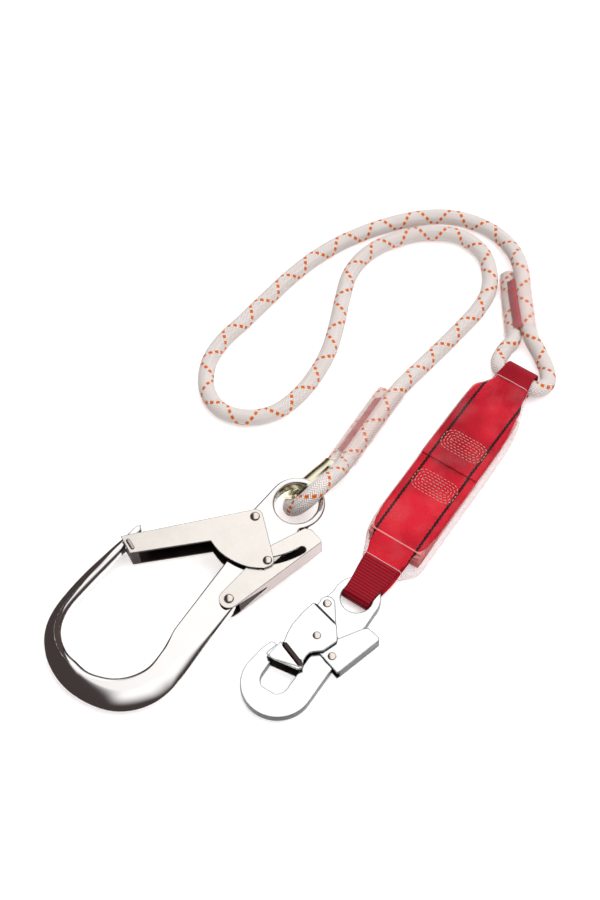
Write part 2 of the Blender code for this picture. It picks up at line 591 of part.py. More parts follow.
def splice_sleeve(name, frame, pairs, wall=0.6, room=0.9):
    """A clear shrunk sleeve over the two strands of a splice, open at both ends."""
    ahead = (Vector(pairs[-1][1]) - Vector(pairs[0][1])).normalized()
    rings = []
    for radius in (ROPE_D / 2 + room + wall, ROPE_D / 2 + room):
        layer = []
        for pair in pairs:
            centre, across, out, half_gap = pair_frame(pair, ahead)
            ring = []
            for side in (1, -1):
                for point in arc((side * half_gap, 0.0), radius, side * 90.0 - 180.0, side * 90.0, 8):
                    ring.append(centre + across * point.x + out * point.y)
            layer.append(ring)
        rings.append(layer)
    mesh = loft(name, rings[0] + rings[1][::-1] + rings[0][:1], closed_ends=False)
    weld(mesh)
    add_part(name, mesh, frame, CLEAR)


def stitch_band(name, frame, pairs, width=6.0, thickness=0.5, lift=5.8):
    """A dense band of bar tack stitching in the valley between the two strands: a bar with round ends."""
    ahead = (Vector(pairs[-1][1]) - Vector(pairs[0][1])).normalized()
    ends = []
    for pair in pairs:
        centre, across, out, half_gap = pair_frame(pair, ahead)
        ends.append(centre + out * lift)
    along = (ends[1] - ends[0]).normalized()
    half = (ends[1] - ends[0]).length / 2
    out = (out - along * out.dot(along)).normalized()
    outline = stadium([Vector((width / 2 - half, 0.0)), Vector((half - width / 2, 0.0))], width / 2)
    middle = (ends[0] + ends[1]) / 2
    part = add_part(name, slab(name, [outline], thickness / 2), frame, RED_THREAD, middle)
    part.rotation_euler = Matrix((along, out.cross(along), out)).transposed().to_euler()


def pairs_along(strands, start, stop, count):
    """Pairs of strand points along a splice of three pairs, from one place to another between 0 and 2."""
    pairs = []
    for i in range(count + 1):
        place = start + (stop - start) * i / count
        leg = 0 if place < 1.0 else 1
        pairs.append(tuple(Vector(a).lerp(Vector(b), place - leg)
                           for a, b in zip(strands[leg], strands[leg + 1])))
    return pairs


def rope_assembly(frame):
    """The rope with its two spliced eyes, the thimble, the clear sleeves and their stitching."""
    add_part("rope", tube("rope", rope_points(), ROPE_D / 2, 3), frame, WHITE_NYLON)
    thimble(frame)
    route = ROPE_ROUTE
    strands = ((route[10], route[2]), (route[11], route[1]), (route[12], route[0]))
    splice_sleeve("thimble_splice_sleeve", frame, pairs_along(strands, 0.1, 1.96, 8))
    stitch_band("thimble_splice_stitching", frame, pairs_along(strands, 0.22, 1.6, 1))
    strands = ((route[49], route[58]), (route[48], route[59]), (route[47], route[60]))
    splice_sleeve("eye_splice_sleeve", frame, pairs_along(strands, 0.06, 1.96, 8))
    stitch_band("eye_splice_stitching", frame, pairs_along(strands, 0.12, 1.5, 1))


# ---------------------------------------------------------------- absorber

ABSORBER_STATIONS = [
    # distance from the rope crossing, half width, bottom, top
    (14.5, 15.5, 5.0, 15.6), (22.0, 18.6, 3.0, 17.6), (32.0, 21.6, 1.4, 20.4), (48.0, 23.4, 0.0, 22.4),
    (96.0, 23.8, 0.0, 23.6), (146.0, 23.6, 0.0, 23.0), (164.0, 22.8, 0.6, 20.6), (178.0, 18.8, 2.2, 16.4),
    (189.0, 15.4, 3.6, 13.8),
]
COVER_T = 0.6
PACK_TOP = 21.55
STITCH_T = 0.24


def box_section(distance, half_width, bottom, top, inset, corner=4.0, count=3):
    """A section across the absorber: a rectangle with round corners, `inset` inside the cover."""
    half_width -= inset
    half_height = (top - bottom) / 2 - inset
    corner = min(corner, half_height * 0.8)
    middle = (top + bottom) / 2
    points = []
    for side_y, side_z, start in ((1, -1, -90), (1, 1, 0), (-1, 1, 90), (-1, -1, 180)):
        centre = (side_y * (half_width - corner), side_z * (half_height - corner))
        corner_arc = arc(centre, corner, start, start + 90, count)
        points += [Vector((distance, place.x, middle + place.y)) for place in corner_arc]
    return points


def strap(name, frame, outline, hole, width_at, spec=RED_WEB):
    """A webbing loop: its side view is pushed out to its width, which narrows where it bends round."""
    mesh = slab(name, [outline, hole], 1.0)
    for vertex in mesh.vertices:
        side = 1 if vertex.co.z > 0 else -1
        along, height = vertex.co.x, vertex.co.y
        vertex.co = (along, -side * width_at(along / MM) * MM / 2, height)
    return add_part(name, mesh, frame, spec)


def absorber(frame):
    """The absorber in its own frame: +X runs from the soft eye to the snap hook, z = 0 is the floor."""
    cover_out = [box_section(*station, 0.0) for station in ABSORBER_STATIONS]
    cover_in = [box_section(*station, COVER_T) for station in ABSORBER_STATIONS]
    mesh = loft("absorber_cover", cover_out + cover_in[::-1] + [cover_out[0]], closed_ends=False)
    weld(mesh)
    add_part("absorber_cover", mesh, frame, CLEAR)
    pack = [box_section(*station, COVER_T + GAP) for station in ABSORBER_STATIONS[1:-1]]
    pack = [[Vector((point.x, point.y, min(point.z, PACK_TOP))) for point in ring] for ring in pack]
    add_part("absorber_webbing", loft("absorber_webbing", pack), frame, RED_WEB)
    seam = stadium([Vector((0.0, -9.5)), Vector((0.0, 9.5))], 8.5)
    for name, distance in (("upper_box_stitch", 78.0), ("lower_box_stitch", 115.0)):
        place = (distance, 0.0, PACK_TOP + 0.4)
        add_part(name, slab(name, [seam], STITCH_T / 2), frame, WHITE_THREAD, place)
    straps(frame)


def straps(frame):
    """The two webbing loops: round the rope's soft eye and round the snap hook's eye."""
    rope_z = STRAP_CROSSING.z
    web = 1.6
    reach = 8.0
    hole = (arc((0.0, rope_z), reach, 60.0, 300.0, 14)
            + [Vector((9.5, rope_z - 0.9)), Vector((9.5, rope_z + 0.9))])
    outer = (arc((0.0, rope_z), reach + web, 60.0, 300.0, 14)
             + [Vector((11.0, rope_z - 2.2)), Vector((21.0, rope_z - 2.0)), Vector((21.0, rope_z + 2.0)),
                Vector((11.0, rope_z + 2.2))])
    strap("rope_end_strap", frame, outer, hole,
          lambda x: 22.0 + 5.0 * max(0.0, min(1.0, (x + 4.0) / 16.0)))
    low, high = 3.4, 11.6
    fold = (213.6, (low + high) / 2)
    outer = ([Vector((182.0, 10.6)), Vector((182.0, 6.6)), Vector((193.0, 6.4)),
              Vector((200.0, low - web + 0.3)), Vector((212.0, low - web))]
             + arc(fold, (high - low) / 2 + web, 290, 430, 8)
             + [Vector((209.0, high + web)), Vector((200.0, high + web - 0.2)), Vector((193.0, 11.6))])
    hole = ([Vector((194.5, 8.2)), Vector((201.0, low)), Vector((212.0, low))]
            + arc(fold, (high - low) / 2, 290, 430, 8)
            + [Vector((209.0, high)), Vector((201.0, high)), Vector((194.5, 9.4))])
    strap("hook_end_strap", frame, outer, hole,
          lambda x: 20.0 + 7.0 * max(0.0, min(1.0, (204.0 - x) / 14.0)))


def main():
    """Build every sub-part under one frame on the floor."""
    floor = empty("lanyard_frame", None, OFFSET)
    rope_assembly(floor)
    big_hook(empty("big_hook_frame", floor, BIG_EYE, (0.0, -BIG_TILT, BIG_AZIMUTH)))
    absorber(empty("absorber_frame", floor, (STRAP_CROSSING.x, STRAP_CROSSING.y, 0.0),
                   (0.0, 0.0, ABSORBER_AZIMUTH)))
    snap_hook(empty("snap_hook_frame", floor, SNAP_EYE, (0.0, 0.0, SNAP_AZIMUTH)))


clear_scene()
PARTS = new_collection("shock_absorbing_lanyard")
CUTTERS = new_collection("cutters")
main()
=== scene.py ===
"""Looks of the shock absorbing lanyard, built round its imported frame.

Lengths in the constants and in the dataclass fields are millimetres, and MM turns them into metres.
The hook pieces are drawn in the frame of their hook: the origin is the centre of its eye, +X points out
past the eye, +Y to its opening. The absorber pieces are drawn in the frame of the absorber: +X runs from
the rope's soft eye to the snap hook, +Y across the webbing, and z = 0 is the floor.
"""

import logging
import math
from collections.abc import Callable, Sequence
from dataclasses import dataclass
from enum import Enum, IntEnum

import bmesh
import bpy
from mathutils import Matrix, Vector


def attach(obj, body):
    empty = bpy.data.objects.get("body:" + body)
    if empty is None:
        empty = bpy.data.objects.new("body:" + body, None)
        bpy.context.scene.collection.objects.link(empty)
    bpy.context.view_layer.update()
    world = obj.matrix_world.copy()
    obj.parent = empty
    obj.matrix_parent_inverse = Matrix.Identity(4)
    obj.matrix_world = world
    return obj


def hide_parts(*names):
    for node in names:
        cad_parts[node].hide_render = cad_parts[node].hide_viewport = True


MM = 0.001
LOG = logging.getLogger("lanyard")

Point = tuple[float, float, float]
Socket = bpy.types.NodeSocket


class Body(Enum):
    """The rigid bodies of the frame that pieces ride on."""

    ROPE = "rope_assembly"
    BIG_HOOK = "big_hook"
    BIG_GATE = "big_gate"
    BIG_LEVER = "big_lever"
    ABSORBER = "absorber"
    SNAP_HOOK = "snap_hook"
    SNAP_GATE = "snap_gate"
    SNAP_LEVER = "snap_lever"


# ---------------------------------------------------------------- shader graphs

class Graph:
    """A material's node tree with short ways to add and join its nodes."""

    def __init__(self, name: str) -> None:
        """Make a material with an empty Principled shader.

        Args:
            name: The material's name.
        """
        self.material = bpy.data.materials.new(name)
        self.material.use_nodes = True
        self.tree = self.material.node_tree
        self.shader = self.tree.nodes["Principled BSDF"]

    def node(self, kind: str, **settings: object) -> bpy.types.Node:
        """Add a node.

        Args:
            kind: The node's type name.
            settings: Values for the node's own properties.

        Returns:
            The new node.
        """
        made = self.tree.nodes.new(kind)
        for key, value in settings.items():
            setattr(made, key, value)
        return made

    def feed(self, socket: Socket, value: object) -> None:
        """Link a socket into an input, or set the input to a plain value."""
        if isinstance(value, bpy.types.NodeSocket):
            self.tree.links.new(value, socket)
        else:
            socket.default_value = value

    def math(self, operation: str, *values: object) -> Socket:
        """Add a Math node.

        Args:
            operation: The node's operation.
            values: Sockets or numbers for its inputs.

        Returns:
            The result's socket.
        """
        made = self.node("ShaderNodeMath", operation=operation)
        for socket, value in zip(made.inputs, values):
            self.feed(socket, value)
        return made.outputs[0]

    def mix(self, share: object, first: object, second: object) -> Socket:
        """Mix two colours.

        Args:
            share: How much of the second, a socket or a number.
            first: The colour at 0, a socket or four numbers.
            second: The colour at 1, a socket or four numbers.

        Returns:
            The mixed colour's socket.
        """
        made = self.node("ShaderNodeMix", data_type="RGBA")
        self.feed(made.inputs["Factor"], share)
        self.feed(made.inputs["A"], first)
        self.feed(made.inputs["B"], second)
        return made.outputs["Result"]

    def coordinates(self, output: str) -> Socket:
        """The Object or UV coordinates."""
        return self.node("ShaderNodeTexCoord").outputs[output]

    def split(self, vector: Socket) -> list[Socket]:
        """The three parts of a vector."""
        made = self.node("ShaderNodeSeparateXYZ")
        self.feed(made.inputs[0], vector)
        return list(made.outputs)

    def noise(self, vector: Socket, scale: float, detail: float = 2.0, roughness: float = 0.5) -> Socket:
        """Add a noise texture.

        Args:
            vector: Where it is read.
            scale: Its fineness.
            detail: How many finer layers it has.
            roughness: How strong the finer layers are.

        Returns:
            The value's socket.
        """
        made = self.node("ShaderNodeTexNoise")
        self.feed(made.inputs["Vector"], vector)
        self.feed(made.inputs["Scale"], scale)
        self.feed(made.inputs["Detail"], detail)
        self.feed(made.inputs["Roughness"], roughness)
        return made.outputs["Fac"]

    def spread(self, value: Socket, low: float, high: float, to_low: float, to_high: float) -> Socket:
        """Map a range of values to another range, clamped."""
        made = self.node("ShaderNodeMapRange")
        for socket, number in zip(made.inputs, (value, low, high, to_low, to_high)):
            self.feed(socket, number)
        return made.outputs[0]

    def bump(self, height: Socket, distance: float, strength: float = 1.0,
             over: Socket | None = None) -> Socket:
        """Add a bump.

        Args:
            height: The height from 0 to 1.
            distance: The depth in metres that a height of 1 stands for.
            strength: The share of the bump that is used.
            over: Another bump's normal that this one lies over.

        Returns:
            The normal's socket.
        """
        made = self.node("ShaderNodeBump")
        made.inputs["Strength"].default_value = strength
        made.inputs["Distance"].default_value = distance
        self.feed(made.inputs["Height"], height)
        if over is not None:
            self.feed(made.inputs["Normal"], over)
        return made.outputs[0]

    def set(self, **values: object) -> None:
        """Set or link inputs of the shader, with an underscore for each space in a name."""
        for key, value in values.items():
            self.feed(self.shader.inputs[key.replace("_", " ")], value)


@dataclass(frozen=True)
class Metal:
    """A metal finish with fine wear, given by its colour and its polish.

    An outline is the width in millimetres of a painted shade along the piece's edges, standing in for the
    dark reflections of their rounding, or 0 for none.
    """

    name: str
    colour: tuple[float, float, float, float]
    roughness: float
    mottle: float = 0.06
    wear: float = 0.05
    stain: tuple[float, float, float, float] = (0.6, 0.55, 0.5, 1.0)
    grain: float = 0.00002
    outline: float = 0.0
    painted_edge_shade: tuple[float, float, float, float] = (0.035, 0.028, 0.028, 1.0)

    def build(self) -> bpy.types.Material:
        """Make the material."""
        graph = Graph(self.name)
        place = graph.coordinates("Object")
        clouds = graph.noise(place, 60.0, 4.0, 0.6)
        fine = graph.noise(place, 1400.0, 2.0, 0.6)
        colour = graph.mix(graph.spread(clouds, 0.45, 0.75, 0.0, self.mottle), self.colour, self.stain)
        # Painted reflection: the colour darkens along the edges, where the rounded normal leaves the flat
        # one, in place of the dark room seen in rounded edges.
        if self.outline:
            rounded = graph.node("ShaderNodeBevel", samples=6)
            rounded.inputs["Radius"].default_value = self.outline * MM
            flat = graph.node("ShaderNodeNewGeometry").outputs["Normal"]
            likeness = graph.node("ShaderNodeVectorMath", operation="DOT_PRODUCT")
            graph.feed(likeness.inputs[0], rounded.outputs[0])
            graph.feed(likeness.inputs[1], flat)
            colour = graph.mix(graph.spread(likeness.outputs["Value"], 0.955, 0.995, 1.0, 0.0), colour,
                               self.painted_edge_shade)
        graph.set(
            Base_Color=colour,
            Metallic=1.0,
            Roughness=graph.math(
                "ADD", graph.spread(clouds, 0.3, 0.7, self.roughness, self.roughness + self.wear),
                graph.math("MULTIPLY", fine, self.wear)),
            Normal=graph.bump(fine, self.grain),
        )
        return graph.material


@dataclass(frozen=True)
class BraidedRope:
    """A kernmantle sheath of two sets of strands with one tracer strand in each, on the cord's own map.

    The map's U runs once round the rope and its V along it in metres.
    """

    name: str = "braided_nylon_sheath"
    carriers: int = 20
    pitch: float = 30.4
    colour: tuple[float, float, float, float] = (0.96, 0.945, 0.935, 1.0)
    valley_shade_and_soil: tuple[float, float, float, float] = (0.48, 0.34, 0.29, 1.0)
    tracer: tuple[float, float, float, float] = (0.80, 0.17, 0.006, 1.0)
    tracer_shade: tuple[float, float, float, float] = (0.40, 0.045, 0.006, 1.0)
    tracer_places: tuple[int, int] = (0, 10)

    def dashes(self, graph: Graph, across: Socket, along: Socket, carrier: int, phase: float) -> Socket:
        """The dashes of a tracer strand, where it lies over the strands that cross it.

        Args:
            graph: The material's graph.
            across: The strand count round the rope, seen along this strand's set.
            along: The strand count of the crossing set.
            carrier: Which strand of the set is the tracer.
            phase: Where its first dash lies, in crossing strands.

        Returns:
            A mask of its dashes.
        """
        wrapped = graph.math("FLOORED_MODULO", graph.math("SUBTRACT", across, float(carrier)),
                             float(self.carriers))
        centred = graph.math("ABSOLUTE", graph.math("SUBTRACT", wrapped, self.carriers / 2))
        near = graph.spread(centred, self.carriers / 2 - 1.02, self.carriers / 2 - 0.84, 0.0, 1.0)
        cycle = graph.math("FRACT", graph.math("DIVIDE", graph.math("ADD", along, phase), 4.0))
        stretch = graph.math("ABSOLUTE", graph.math("SUBTRACT", cycle, 0.5))
        return graph.math("MULTIPLY", near, graph.spread(stretch, 0.27, 0.33, 1.0, 0.0))

    def build(self) -> bpy.types.Material:
        """Make the material."""
        graph = Graph(self.name)
        around, length, _ = graph.split(graph.coordinates("UV"))
        turns = graph.math("MULTIPLY", around, float(self.carriers))
        advance = graph.math("MULTIPLY", length, self.carriers / (self.pitch * MM))
        first = graph.math("SUBTRACT", turns, advance)
        second = graph.math("ADD", turns, advance)
        cells = graph.math("ADD", graph.math("FLOOR", first), graph.math("FLOOR", second))
        over = graph.math("LESS_THAN", graph.math("FLOORED_MODULO", cells, 4.0), 2.0)
        rounds = [graph.math("SINE", graph.math("MULTIPLY", graph.math("FRACT", strand), math.pi))
                  for strand in (first, second)]
        height = graph.math("ADD", graph.math("MULTIPLY", over, rounds[0]),
                            graph.math("MULTIPLY", graph.math("SUBTRACT", 1.0, over), rounds[1]))
        low, high = self.tracer_places
        marks = graph.math("MAXIMUM", self.dashes(graph, first, second, low, 0.0),
                           self.dashes(graph, second, first, high, 1.0))
        place = graph.coordinates("Object")
        soil = graph.noise(place, 90.0, 3.0)
        # Painted shade: the yarn darkens towards the valley colour where the strands dip between crossings.
        yarn = graph.mix(graph.spread(height, 0.25, 0.95, 0.0, 1.0), self.valley_shade_and_soil, self.colour)
        # Real soil: random patches lean towards the same colour.
        yarn = graph.mix(graph.spread(soil, 0.5, 0.8, 0.0, 0.10), yarn, self.valley_shade_and_soil)
        # Painted shade: the tracer darkens towards its shade colour where it dips under the crossing strands.
        dash = graph.mix(graph.spread(height, 0.1, 0.6, 0.0, 1.0), self.tracer_shade, self.tracer)
        fuzz = graph.noise(place, 2600.0, 2.0, 0.7)
        relief = graph.math("ADD", height, graph.math("MULTIPLY", fuzz, 0.5))
        graph.set(Base_Color=graph.mix(marks, yarn, dash), Roughness=0.8, Sheen_Weight=0.08,
                  Sheen_Roughness=0.5, Specular_IOR_Level=0.2, Normal=graph.bump(relief, 0.00030))
        return graph.material


@dataclass(frozen=True)
class RibbedWebbing:
    """Woven polyester webbing on its own map: U runs across it and V along it, both in metres."""

    name: str
    colour: tuple[float, float, float, float] = (0.29, 0.001, 0.012, 1.0)
    bright: tuple[float, float, float, float] = (0.66, 0.016, 0.034, 1.0)
    rib: float = 1.35
    warp: float = 0.8
    line_at: float = 0.0
    line_half: float = 1.05
    line_colour: tuple[float, float, float, float] = (0.016, 0.010, 0.010, 1.0)
    coarse_from: float = 0.0
    coarse_to: float = 0.0
    coarse_rib: float = 2.3
    coarse_darkening: float = 0.8

    def build(self) -> bpy.types.Material:
        """Make the material."""
        graph = Graph(self.name)
        across, along, _ = graph.split(graph.coordinates("UV"))
        place = graph.coordinates("Object")
        ribs = graph.math("SINE", graph.math("MULTIPLY", along, 2 * math.pi / (self.rib * MM)))
        bare: Socket | float = 0.0
        if self.coarse_to:
            middle = (self.coarse_from + self.coarse_to) / 2
            gap = graph.math("ABSOLUTE", graph.math("SUBTRACT", along, middle * MM))
            half = (self.coarse_to - self.coarse_from) / 2
            bare = graph.spread(gap, (half - 2.0) * MM, (half + 2.0) * MM, 1.0, 0.0)
            coarse = graph.math("SINE", graph.math("MULTIPLY", along, 2 * math.pi / (self.coarse_rib * MM)))
            ribs = graph.math("ADD", graph.math("MULTIPLY", ribs, graph.math("SUBTRACT", 1.0, bare)),
                              graph.math("MULTIPLY", graph.math("MULTIPLY", coarse, bare), 1.5))
        warp = graph.math("SINE", graph.math("MULTIPLY", across, 2 * math.pi / (self.warp * MM)))
        weave = graph.math("ADD", graph.math("MULTIPLY", ribs, 0.35), graph.math("MULTIPLY", warp, 0.18))
        weave = graph.math("ADD", weave, 0.5)
        clouds = graph.noise(place, 26.0, 2.0)
        fuzz = graph.noise(place, 2200.0, 2.0, 0.7)
        # Painted light and shade: the weave lightens rib crests and darkens their grooves, and the broad
        # cloud patches stand in for the light and shade of folds and of the film's glaze.
        tone = graph.math("ADD", graph.math("MULTIPLY", weave, 0.4),
                          graph.spread(clouds, 0.36, 0.64, 0.0, 0.75))
        colour = graph.mix(tone, self.colour, self.bright)
        # Over the loop round the eye the colour goes darker, with painted shade in the grooves of its coarse
        # ribs.
        if self.coarse_to:
            darker_loop_colour = graph.mix(graph.spread(weave, 0.1, 0.9, 0.0, 1.0), (0.06, 0.001, 0.004, 1.0), self.colour)
            colour = graph.mix(graph.math("MULTIPLY", bare, self.coarse_darkening), colour, darker_loop_colour)
        relief = graph.math("ADD", weave, graph.math("MULTIPLY", fuzz, 0.4))
        if self.line_at:
            swing = graph.math("SINE", graph.math("MULTIPLY", along, 2 * math.pi / (3.3 * MM)))
            shifted = graph.math("ADD", graph.math("ABSOLUTE", across),
                                 graph.math("MULTIPLY", swing, 0.22 * MM))
            gap = graph.math("ABSOLUTE", graph.math("SUBTRACT", shifted, self.line_at * MM))
            line = graph.spread(gap, self.line_half * 0.75 * MM, self.line_half * MM, 1.0, 0.0)
            colour = graph.mix(line, colour, self.line_colour)
            relief = graph.math("ADD", relief, graph.math("MULTIPLY", line, 0.8))
        graph.set(Base_Color=colour, Roughness=0.55, Sheen_Weight=0.04, Sheen_Roughness=0.4,
                  Specular_IOR_Level=0.22, Normal=graph.bump(relief, 0.00025))
        return graph.material


@dataclass(frozen=True)
class ClearVinyl:
    """Thin clear film that turns milky where it is seen edge on."""

    name: str
    tint: tuple[float, float, float, float] = (0.92, 0.80, 0.79, 1.0)
    facing: float = 0.0
    edge: float = 0.55
    haze: float = 0.022
    roughness: float = 0.16

    def build(self) -> bpy.types.Material:
        """Make the material."""
        graph = Graph(self.name)
        place = graph.coordinates("Object")
        haze = graph.noise(place, 70.0, 3.0)
        weight = graph.node("ShaderNodeLayerWeight")
        weight.inputs["Blend"].default_value = 0.5
        alpha = graph.spread(weight.outputs["Facing"], 0.32, 0.88, self.facing, self.edge)
        alpha = graph.math("ADD", alpha, graph.spread(haze, 0.45, 0.8, 0.0, self.haze))
        graph.set(Base_Color=self.tint, Roughness=self.roughness, Alpha=alpha, Specular_IOR_Level=0.5,
                  Normal=graph.bump(haze, 0.0006))
        return graph.material


@dataclass(frozen=True)
class SewingThread:
    """Twisted sewing thread."""

    name: str
    colour: tuple[float, float, float, float]
    deep: tuple[float, float, float, float]

    def build(self) -> bpy.types.Material:
        """Make the material."""
        graph = Graph(self.name)
        place = graph.coordinates("Object")
        strands = graph.noise(place, 1500.0, 2.0, 0.7)
        graph.set(Base_Color=graph.mix(strands, self.deep, self.colour), Roughness=0.6,
                  Sheen_Weight=0.2, Normal=graph.bump(strands, 0.0001))
        return graph.material


# ---------------------------------------------------------------- shared mesh making

def smooth(route: Sequence[Sequence[float]], parts: int) -> list[Vector]:
    """A smooth curve through the points of a route.

    Args:
        route: The points, 2D or 3D.
        parts: How many pieces lie between two points.

    Returns:
        The curve's points.
    """
    points = [Vector(p) for p in route]
    ends = [points[0] * 2 - points[1]] + points + [points[-1] * 2 - points[-2]]
    curve = []
    for i in range(1, len(ends) - 2):
        before, start, end, after = ends[i - 1:i + 3]
        for step in range(parts):
            t = step / parts
            curve.append(start * (2 * t**3 - 3 * t**2 + 1) + (end - before) * 0.5 * (t**3 - 2 * t**2 + t)
                         + end * (3 * t**2 - 2 * t**3) + (after - start) * 0.5 * (t**3 - t**2))
    curve.append(points[-1])
    return curve


def even_steps(points: Sequence[Vector], step: float) -> list[Vector]:
    """Points at even steps along a line.

    Args:
        points: The line's own points.
        step: The wanted distance between two new points.

    Returns:
        The new points, with both ends kept.
    """
    total = sum((b - a).length for a, b in zip(points, points[1:]))
    count = max(1, round(total / step))
    spacing = total / count
    made = [points[0].copy()]
    walked = 0.0
    for a, b in zip(points, points[1:]):
        stretch = (b - a).length
        while stretch > 0 and len(made) < count and walked + stretch >= spacing * len(made):
            made.append(a.lerp(b, (spacing * len(made) - walked) / stretch))
        walked += stretch
    made.append(points[-1].copy())
    return made


def value_at(table: Sequence[tuple[float, float]], place: float) -> float:
    """The eased value between the rows of a table of places and values."""
    if place <= table[0][0]:
        return table[0][1]
    for (a, low), (b, high) in zip(table, table[1:]):
        if place <= b:
            t = (place - a) / (b - a)
            return low + (high - low) * t * t * (3 - 2 * t)
    return table[-1][1]


def finished(name: str, shape: bmesh.types.BMesh, material: bpy.types.Material, body: Body,
             place: Matrix | None = None, sharp: float | None = 40.0) -> bpy.types.Object:
    """Turn a bmesh in metres into a piece that rides on a body.

    Args:
        name: The piece's name.
        shape: The bmesh, which is freed.
        material: Its material.
        body: The body that it rides on.
        place: The frame that it was drawn in.
        sharp: Edges over this angle in degrees stay sharp, or None to smooth them all.

    Returns:
        The piece.
    """
    if place is not None:
        shape.transform(place)
    mesh = bpy.data.meshes.new(name)
    shape.to_mesh(mesh)
    shape.free()
    mesh.shade_smooth()
    if sharp is not None:
        mesh.set_sharp_from_angle(angle=math.radians(sharp))
    mesh.materials.append(material)
    piece = bpy.data.objects.new(name, mesh)
    bpy.context.scene.collection.objects.link(piece)
    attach(piece, body.value)
    LOG.info("%s: %d faces on %s", name, len(mesh.polygons), body.value)
    return piece


def skin(shape: bmesh.types.BMesh, rings: Sequence[Sequence[Vector]], rows: Sequence[float] | None = None,
         columns: Sequence[float] | None = None, closed_ends: bool = True, tube: bool = True) -> None:
    """Skin over rings of points in millimetres, with a map where the rows and columns are given.

    Args:
        shape: The bmesh that gets the faces.
        rings: The rings, each with the same count.
        rows: The map's V at each ring.
        columns: The map's U at each point of a ring, with one more for the seam of a tube.
        closed_ends: Whether the first and the last ring are filled.
        tube: Whether each ring closes on itself.
    """
    layer = shape.loops.layers.uv.verify() if rows is not None else None
    loops = [[shape.verts.new(point * MM) for point in ring] for ring in rings]
    count = len(rings[0])
    for i, (near, far) in enumerate(zip(loops, loops[1:])):
        for j in range(count if tube else count - 1):
            k = (j + 1) % count
            face = shape.faces.new((near[j], near[k], far[k], far[j]))
            if layer is not None:
                corners = ((columns[j], rows[i]), (columns[j + 1], rows[i]),
                           (columns[j + 1], rows[i + 1]), (columns[j], rows[i + 1]))
                for loop, corner in zip(face.loops, corners):
                    loop[layer].uv = corner
    if closed_ends:
        for ring in (loops[0][::-1], loops[-1]):
            face = shape.faces.new(ring)
            if layer is not None:
                for loop in face.loops:
                    loop[layer].uv = (0.25 / 20, 0.0)
    bmesh.ops.recalc_face_normals(shape, faces=shape.faces)


# ---------------------------------------------------------------- where things lie

def place_of(centre: Point, azimuth: float, tilt: float = 0.0) -> Matrix:
    """The place of a sub-assembly's own frame, from millimetres and degrees."""
    return (Matrix.Translation(Vector(centre) * MM) @ Matrix.Rotation(math.radians(azimuth), 4, "Z")
            @ Matrix.Rotation(math.radians(-tilt), 4, "Y"))


BIG_HOOK_PLACE = place_of((-2.3, 14.8, 20.0), 55.0, 4.1)
SNAP_HOOK_PLACE = place_of((39.2, -52.4, 7.8), 57.0)
ABSORBER_PLACE = place_of((160.7, 127.1, 0.0), 235.9)
ROPE_OFFSET = Vector((0.2, 72.9, 0.0))

ROPE_ROUTE: list[Point] = [
    (62.5, 44.5, 7.7), (43.5, 14.5, 7.7), (24.5, -15.5, 7.6), (11.8, -28.2, 6.8), (-0.9, -41.1, 6.8),
    (-6.1, -52.3, 11.0), (-4.0, -60.1, 21.2), (4.1, -60.0, 31.4), (13.5, -52.1, 35.6), (25.0, -36.2, 28.0),
    (32.1, -20.3, 15.9), (51.1, 9.7, 15.9), (70.1, 39.7, 15.4), (82.0, 57.0, 10.2), (96.0, 74.5, 6.4),
    (114.0, 95.0, 6.2), (133.0, 118.0, 6.2), (142.5, 136.0, 6.2), (144.5, 155.0, 6.2), (139.5, 173.0, 6.2),
    (124.0, 187.5, 6.2), (98.0, 191.5, 6.2), (71.0, 184.0, 6.2), (50.0, 170.0, 6.2), (38.0, 152.0, 6.2),
    (32.5, 131.0, 6.2), (28.0, 108.0, 6.2), (22.0, 84.0, 6.2), (12.0, 62.0, 6.2), (-2.0, 42.0, 6.2),
    (-19.0, 28.0, 6.2), (-38.0, 24.0, 6.2), (-57.0, 30.0, 6.2), (-68.0, 47.0, 6.2), (-68.0, 69.0, 6.2),
    (-59.0, 89.0, 6.2), (-42.0, 109.0, 6.2), (-23.5, 131.0, 6.2), (-6.0, 151.0, 6.2), (12.0, 168.0, 6.2),
    (33.0, 183.0, 6.2), (59.0, 196.0, 6.2), (85.0, 204.5, 6.2), (109.0, 207.5, 6.2), (131.0, 203.0, 6.2),
    (149.0, 192.5, 6.2), (161.5, 176.0, 8.6),
    (167.0, 152.0, 15.8), (168.2, 124.0, 15.2), (170.8, 94.0, 12.6), (177.6, 78.0, 8.8), (182.2, 64.0, 7.6),
    (181.4, 51.6, 8.6), (172.6, 46.0, 9.8), (160.5, 54.2, 9.9), (149.4, 61.7, 9.8), (146.8, 71.0, 8.6),
    (152.0, 82.0, 7.4), (159.4, 94.0, 7.7), (158.2, 124.0, 7.8), (158.2, 150.0, 7.8),
]


def rope_place(index: int) -> Vector:
    """A point of the rope's route in the row frame, in millimetres."""
    return Vector(ROPE_ROUTE[index]) + ROPE_OFFSET


def arc(centre: Sequence[float], radius: float, start: float, end: float, count: int) -> list[Vector]:
    """Points along a flat arc.

    Args:
        centre: Its centre.
        radius: Its radius.
        start: The first angle in degrees.
        end: The last angle in degrees.
        count: How many pieces it is cut into.

    Returns:
        One point more than `count`.
    """
    angles = [math.radians(start + (end - start) * i / count) for i in range(count + 1)]
    return [Vector((centre[0] + radius * math.cos(a), centre[1] + radius * math.sin(a))) for a in angles]


# ---------------------------------------------------------------- rope assembly

